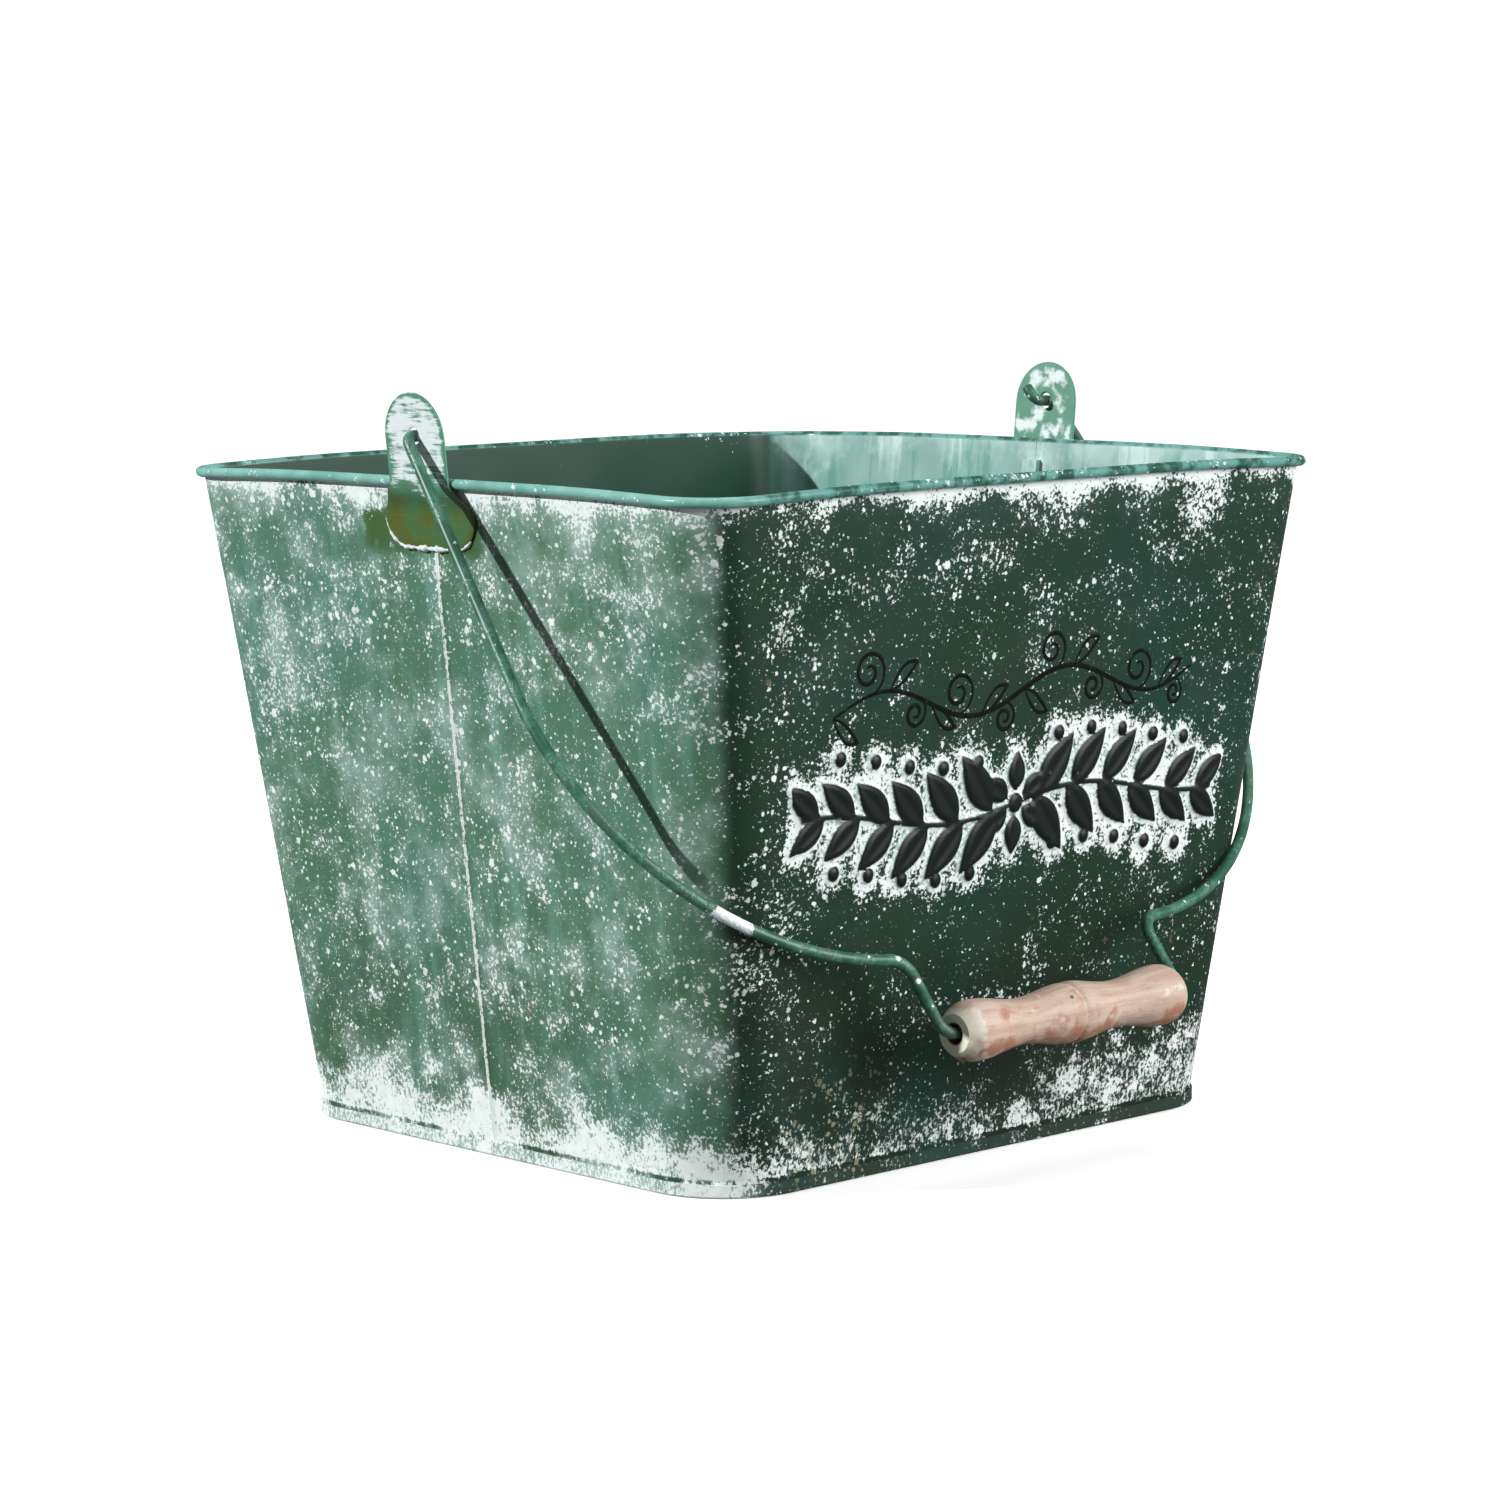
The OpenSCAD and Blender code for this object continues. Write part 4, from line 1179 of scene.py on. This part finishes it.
# %% Paint the walls and the base
sheet_finish = painted_sheet("limewashed_enamel_steel", True)
pan_finish = painted_sheet("limewashed_enamel_base", False)
for piece in (front_sheet, back_sheet):
    piece.data.materials.append(sheet_finish)
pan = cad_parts["base_pan"]
pan.data.materials.clear()
pan.data.materials.append(pan_finish)
print("painted:", front_sheet.name, back_sheet.name, pan.name)

# %% [markdown]
# ## Black brushed enamel
# The vine is black enamel put on with a thin brush. It is dull, hardly shines, and is
# worn through to green in small patches, which keeps it from looking like a hole.

# %% Vine finish
BRUSHED_BLACK, GREEN_BELOW = linear("#050807"), linear("#1b3b2b")
material, tree = new_material("black_brushed_enamel", Roughness=0.6, Specular_IOR_Level=0.1)
worn = add(tree, "TexNoise", millimetres(tree), Scale=1 / 2.2, Detail=4, Roughness=0.6)
worn = add(tree, "MapRange", worn, 0.58, 0.70, 0, 0.5, **SMOOTH)
colour = add(tree, "Mix", {0: worn, 6: BRUSHED_BLACK, 7: GREEN_BELOW}, **COLOUR)
join(material, Base_Color=colour)
vine.data.materials.append(material)

# %% [markdown]
# ## The ears' finish
# The same enamel, with the wash left thick on the outside and rubbed off in level
# strokes, a bare olive patch low on the tab, white along the filler, and only patches of
# wash on the inside. Attributes tell the two faces, the edge and the filler apart.

# %% Ear finish
EAR_GREEN = linear("#3f7861"), linear("#5b957e")
TAB_GREEN = linear("#4e5a1c"), linear("#3d6738")
EAR_WASH = linear("#dbe4e6")
EAR_PATCH_MM, STROKE_MM = 8.0, 0.9
ALONG_STROKES = (1, 0.10, 1)  # the strokes are level, ten times as long as they are tall
BARE_BELOW = (190, 180)  # heights between which the tab turns olive
material, tree = new_material("thickly_washed_steel", IOR=1.5)
mm = millimetres(tree)
outer, rim, ridge = (add(tree, "Attribute", attribute_name=key, take="Fac")
                     for key in ("outer", "rim", "ridge"))
z = add(tree, "SeparateXYZ", mm, take="Z")
blots = add(tree, "TexNoise", mm, Scale=1 / EAR_PATCH_MM, Detail=5, Roughness=0.55)
level = add(tree, "Mapping", mm, Scale=ALONG_STROKES)
stroke = add(tree, "TexNoise", level, Scale=1 / STROKE_MM, Detail=4, Roughness=0.62)
cloud = add(tree, "TexNoise", mm, Scale=1 / 12, Detail=4, Roughness=0.6)
green = add(tree, "Mix", {0: cloud, 6: EAR_GREEN[0], 7: EAR_GREEN[1]}, **COLOUR)
tab = add(tree, "Math", blots, 8.0, z, **TIMES_PLUS)
tab = add(tree, "MapRange", tab, *BARE_BELOW, **SMOOTH)
olive = add(tree, "MapRange", blots, 0.38, 0.60, **SMOOTH)
olive = add(tree, "Mix", {0: olive, 6: TAB_GREEN[0], 7: TAB_GREEN[1]}, **COLOUR)
green = add(tree, "Mix", {0: tab, 6: green, 7: olive}, **COLOUR)

# %% Ear wash
streaked = add(tree, "Math", blots, 0.45, 0.055, **TIMES_PLUS)
streaked = add(tree, "Math", stroke, 0.55, streaked, **TIMES_PLUS)
high = add(tree, "MapRange", z, 186, 196, 0, 0.07, **SMOOTH)
streaked = add(tree, "Math", streaked, high, **PLUS)
inner = add(tree, "Math", blots, 0.015, **PLUS)
cover = add(tree, "Mix", {0: outer, 2: inner, 3: streaked})
edge = add(tree, "MapRange", rim, 2.2, 0.2, 0, 0.10, **SMOOTH)
for part, share in ((edge, -1.0), (tab, -0.20), (ridge, 0.5)):
    cover = add(tree, "Math", part, share, cover, **TIMES_PLUS)
washed = add(tree, "MapRange", cover, 0.508, 0.625, 0, 0.92, **SMOOTH)
colour = add(tree, "Mix", {0: washed, 6: green, 7: EAR_WASH}, **COLOUR)
rough = add(tree, "Math", washed, 0.3, 0.4, **TIMES_PLUS)
bump = add(tree, "Bump", Height=cover, Distance=0.0003, Strength=0.6)
join(material, Base_Color=colour, Roughness=rough, Normal=bump)
for name in ("left_ear_plate", "right_ear_plate"):
    bpy.data.objects[name].data.materials.append(material)

# %% [markdown]
# ## The wire's finish
# Green enamel on steel wire, satin where it is whole, worn to a dull olive brown where it
# is handled, with a few white dabs and one white spot where it lies on the corner.

# %% Wire finish
WIRE_GREEN = linear("#255743"), linear("#5f9a86")
WORN_OLIVE = linear("#35422c")
WHITE_SPOT_AT = (-99.0, -95.5, 75.5)  # where the wire lies on the bucket's corner
CLOUD_MM, DAB_MM = 9.0, 3.0
material, tree = new_material("enamelled_wire", IOR=1.5, Roughness=0.38)
mm = millimetres(tree)
shade = patches(tree, mm, CLOUD_MM, 4, 0.6, 0.38, 0.70)
paint = add(tree, "Mix", {0: shade, 6: WIRE_GREEN[0], 7: WIRE_GREEN[1]}, **COLOUR)
worn = patches(tree, mm, CLOUD_MM, 5, 0.7, 0.51, 0.59)
share = add(tree, "Math", worn, 0.7, **TIMES)
paint = add(tree, "Mix", {0: share, 6: paint, 7: WORN_OLIVE}, **COLOUR)
near = close_to(tree, mm, WHITE_SPOT_AT, 10, 3, 0, 0.4)
white_spot = add(tree, "TexNoise", mm, Scale=1 / 2.5, Detail=3, Roughness=0.6)
white_spot = add(tree, "Math", near, white_spot, **PLUS)
white_spot = add(tree, "MapRange", white_spot, 0.72, 0.78, **SMOOTH)
dabs = add(tree, "Math", dots(tree, mm, DAB_MM, 0.30), white_spot, **LARGER)
colour = add(tree, "Mix", {0: dabs, 6: paint, 7: WASH}, **COLOUR)
bump = add(tree, "Bump", Height=worn, Distance=0.0002, Strength=0.6)
join(material, Base_Color=colour, Normal=bump)
bpy.data.objects["bail_wire"].data.materials.append(material)

# %% [markdown]
# ## The wood
# Beech, turned across a lathe and left raw, so the grain and the short flecks that mark
# beech run along the grip. It is dull, has a pinkish tan colour and brown stains, which
# gather towards the underside as painted shade, and has worn pale at its left end. The
# end faces are greyer and the bore is dark.

# %% Wood finish
BEECH = linear("#b09280"), linear("#cab6a7")
FLECK, STAIN_AND_SHADE, RUBBED = linear("#9a6c52"), linear("#9c6248"), linear("#e2dfcf")
END_GRAIN, BORE_SHADE, KNOT_BROWN = linear("#dcdcc6"), linear("#5c4030"), linear("#33241c")
ALONG_GRAIN, ALONG_FLECK = (0.06, 1, 1), (0.22, 1, 1)
RAY_MM, FLECK_W_MM = 2.6, 0.9
GRIP_X, GRIP_Y, GRIP_Z = (float(v) for v in AXIS)
KNOT = (GRIP_X - 4.0, GRIP_Y - 5.5, GRIP_Z + 5.0)
material, tree = new_material("turned_beech", IOR=1.45, Roughness=0.62)
mm = millimetres(tree)
x, y, z = add(tree, "SeparateXYZ", mm, take=slice(3))
long = add(tree, "Mapping", mm, Scale=ALONG_GRAIN)
grain = add(tree, "TexNoise", long, Scale=1 / RAY_MM, Detail=5, Roughness=0.65)
share = add(tree, "MapRange", grain, 0.25, 0.75, **SMOOTH)
wood = add(tree, "Mix", {0: share, 6: BEECH[0], 7: BEECH[1]}, **COLOUR)
fleck = add(tree, "Mapping", mm, Scale=ALONG_FLECK)
fleck = patches(tree, fleck, FLECK_W_MM, 2, 0.6, 0.60, 0.72, 0, 0.35)

# %% Marks of use, and painted shade, on the wood
# painted shade: the brown stains gather towards the underside
shade_below = add(tree, "MapRange", z, GRIP_Z + 3, GRIP_Z - 6, 0, 0.16, **SMOOTH)
stain_and_shade = add(tree, "TexNoise", mm, Scale=1 / 10, Detail=6, Roughness=0.6)
stain_and_shade = add(tree, "Math", shade_below, stain_and_shade, **PLUS)
stain_and_shade = add(tree, "MapRange", stain_and_shade, 0.56, 0.70, 0, 0.75, **SMOOTH)
to_end = add(tree, "MapRange", x, GRIP_X - 28, GRIP_X - 42, 0, 0.14, **SMOOTH)
rubbed = add(tree, "TexNoise", mm, Scale=1 / 8, Detail=5, Roughness=0.6)
rubbed = add(tree, "Math", to_end, rubbed, **PLUS)
rubbed = add(tree, "MapRange", rubbed, 0.60, 0.72, 0, 0.6, **SMOOTH)
end, from_axis = (add(tree, "Attribute", attribute_name=key, take="Fac")
                  for key in ("end", "from_axis"))
end = add(tree, "Math", end, 0.85, **TIMES)
bore = add(tree, "MapRange", from_axis, 3.3, 2.7, **SMOOTH)
knot = close_to(tree, mm, KNOT, 1.1, 0.6)
for share, colour in ((fleck, FLECK), (stain_and_shade, STAIN_AND_SHADE), (rubbed, RUBBED), (end, END_GRAIN),
                      (bore, BORE_SHADE), (knot, KNOT_BROWN)):
    wood = add(tree, "Mix", {0: share, 6: wood, 7: colour}, **COLOUR)
bump = add(tree, "Bump", Height=grain, Distance=0.0004, Strength=0.5)
join(material, Base_Color=wood, Normal=bump)
bpy.data.objects["grip_wood"].data.materials.append(material)

# %% [markdown]
# ## Floor and light
# A plain pale floor under a plain pale sky. Both are brighter to the camera than to the
# bucket, so they run together without a horizon and don't flood the shaded sides.

# %% Floor
FLOOR_HALF, FLOOR_Z = 8.0, -2e-4
FLOOR_GLOW = 0.37  # light that the camera sees on top of the lamps'
corners = [(x * FLOOR_HALF, y * FLOOR_HALF, FLOOR_Z)
           for x, y in ((-1, -1), (1, -1), (1, 1), (-1, 1))]
mesh = bpy.data.meshes.new("floor")
mesh.from_pydata(corners, [], [(0, 1, 2, 3)])
floor = bpy.data.objects.new("floor", mesh)
bpy.context.scene.collection.objects.link(floor)
material, tree = new_material("pale_paper", Roughness=0.9, Emission_Color=(1, 1, 1, 1))
seen = add(tree, "LightPath", take="Is Camera Ray")
paper = add(tree, "Mix", {0: seen, 6: linear("#5c5e5f"), 7: linear("#f6f6f6")}, **COLOUR)
glow = add(tree, "Math", seen, FLOOR_GLOW, **TIMES)
join(material, Base_Color=paper, Emission_Strength=glow)
mesh.materials.append(material)

# %% Sky
SKY, TO_BUCKET, TO_CAMERA = linear("#f4f6f7"), 0.14, 1.12
world = bpy.data.worlds.new("pale_room")
bpy.context.scene.world = world
world.use_nodes = True
tree = world.node_tree
seen = add(tree, "LightPath", take="Is Camera Ray")
strength = add(tree, "Math", seen, TO_CAMERA - TO_BUCKET, TO_BUCKET, **TIMES_PLUS)
sky = tree.nodes["Background"]
sky.inputs["Color"].default_value = SKY
tree.links.new(strength, sky.inputs["Strength"])
print("sky strength on the bucket:", TO_BUCKET)

# %% [markdown]
# ## Lamps
# One key lamp stands high on the left and a little behind, so it rakes the left side and
# throws the bail's shadow on it. A softer, round lamp stands to the right of the camera
# and lights only the front, and a weak one overhead reaches down into the bucket.

# %% Lamps
AIM = np.array([0, 0, 0.1])  # about the middle of the bucket


def lamp(name, kind, place, energy, **settings):
    """A lamp at a place, turned so that it shines at AIM."""
    light = bpy.data.lights.new(name, kind)
    light.energy = energy
    for key, value in settings.items():
        setattr(light, key, value)
    back = np.array(place) - AIM
    back /= np.linalg.norm(back)
    right = np.cross([0, 0, 1], back)
    right /= np.linalg.norm(right)
    turn = np.eye(4)
    turn[:3, :3] = np.column_stack([right, np.cross(back, right), back])
    turn[:3, 3] = place
    stand = bpy.data.objects.new(name, light)
    bpy.context.scene.collection.objects.link(stand)
    stand.matrix_world = Matrix(turn.tolist())
    print(name, "at", place, "energy", energy)


lamp("key", "SUN", (-2.0, 1.2, 1.3), 4.3, angle=math.radians(1.5))
lamp("front_window", "AREA", (0.9, -2.4, 1.1), 106.0, shape="DISK", size=2.2)
lamp("ceiling", "AREA", (0.1, 0.1, 2.2), 14.0, shape="DISK", size=1.4)
bpy.context.scene.view_settings.view_transform = "Standard"
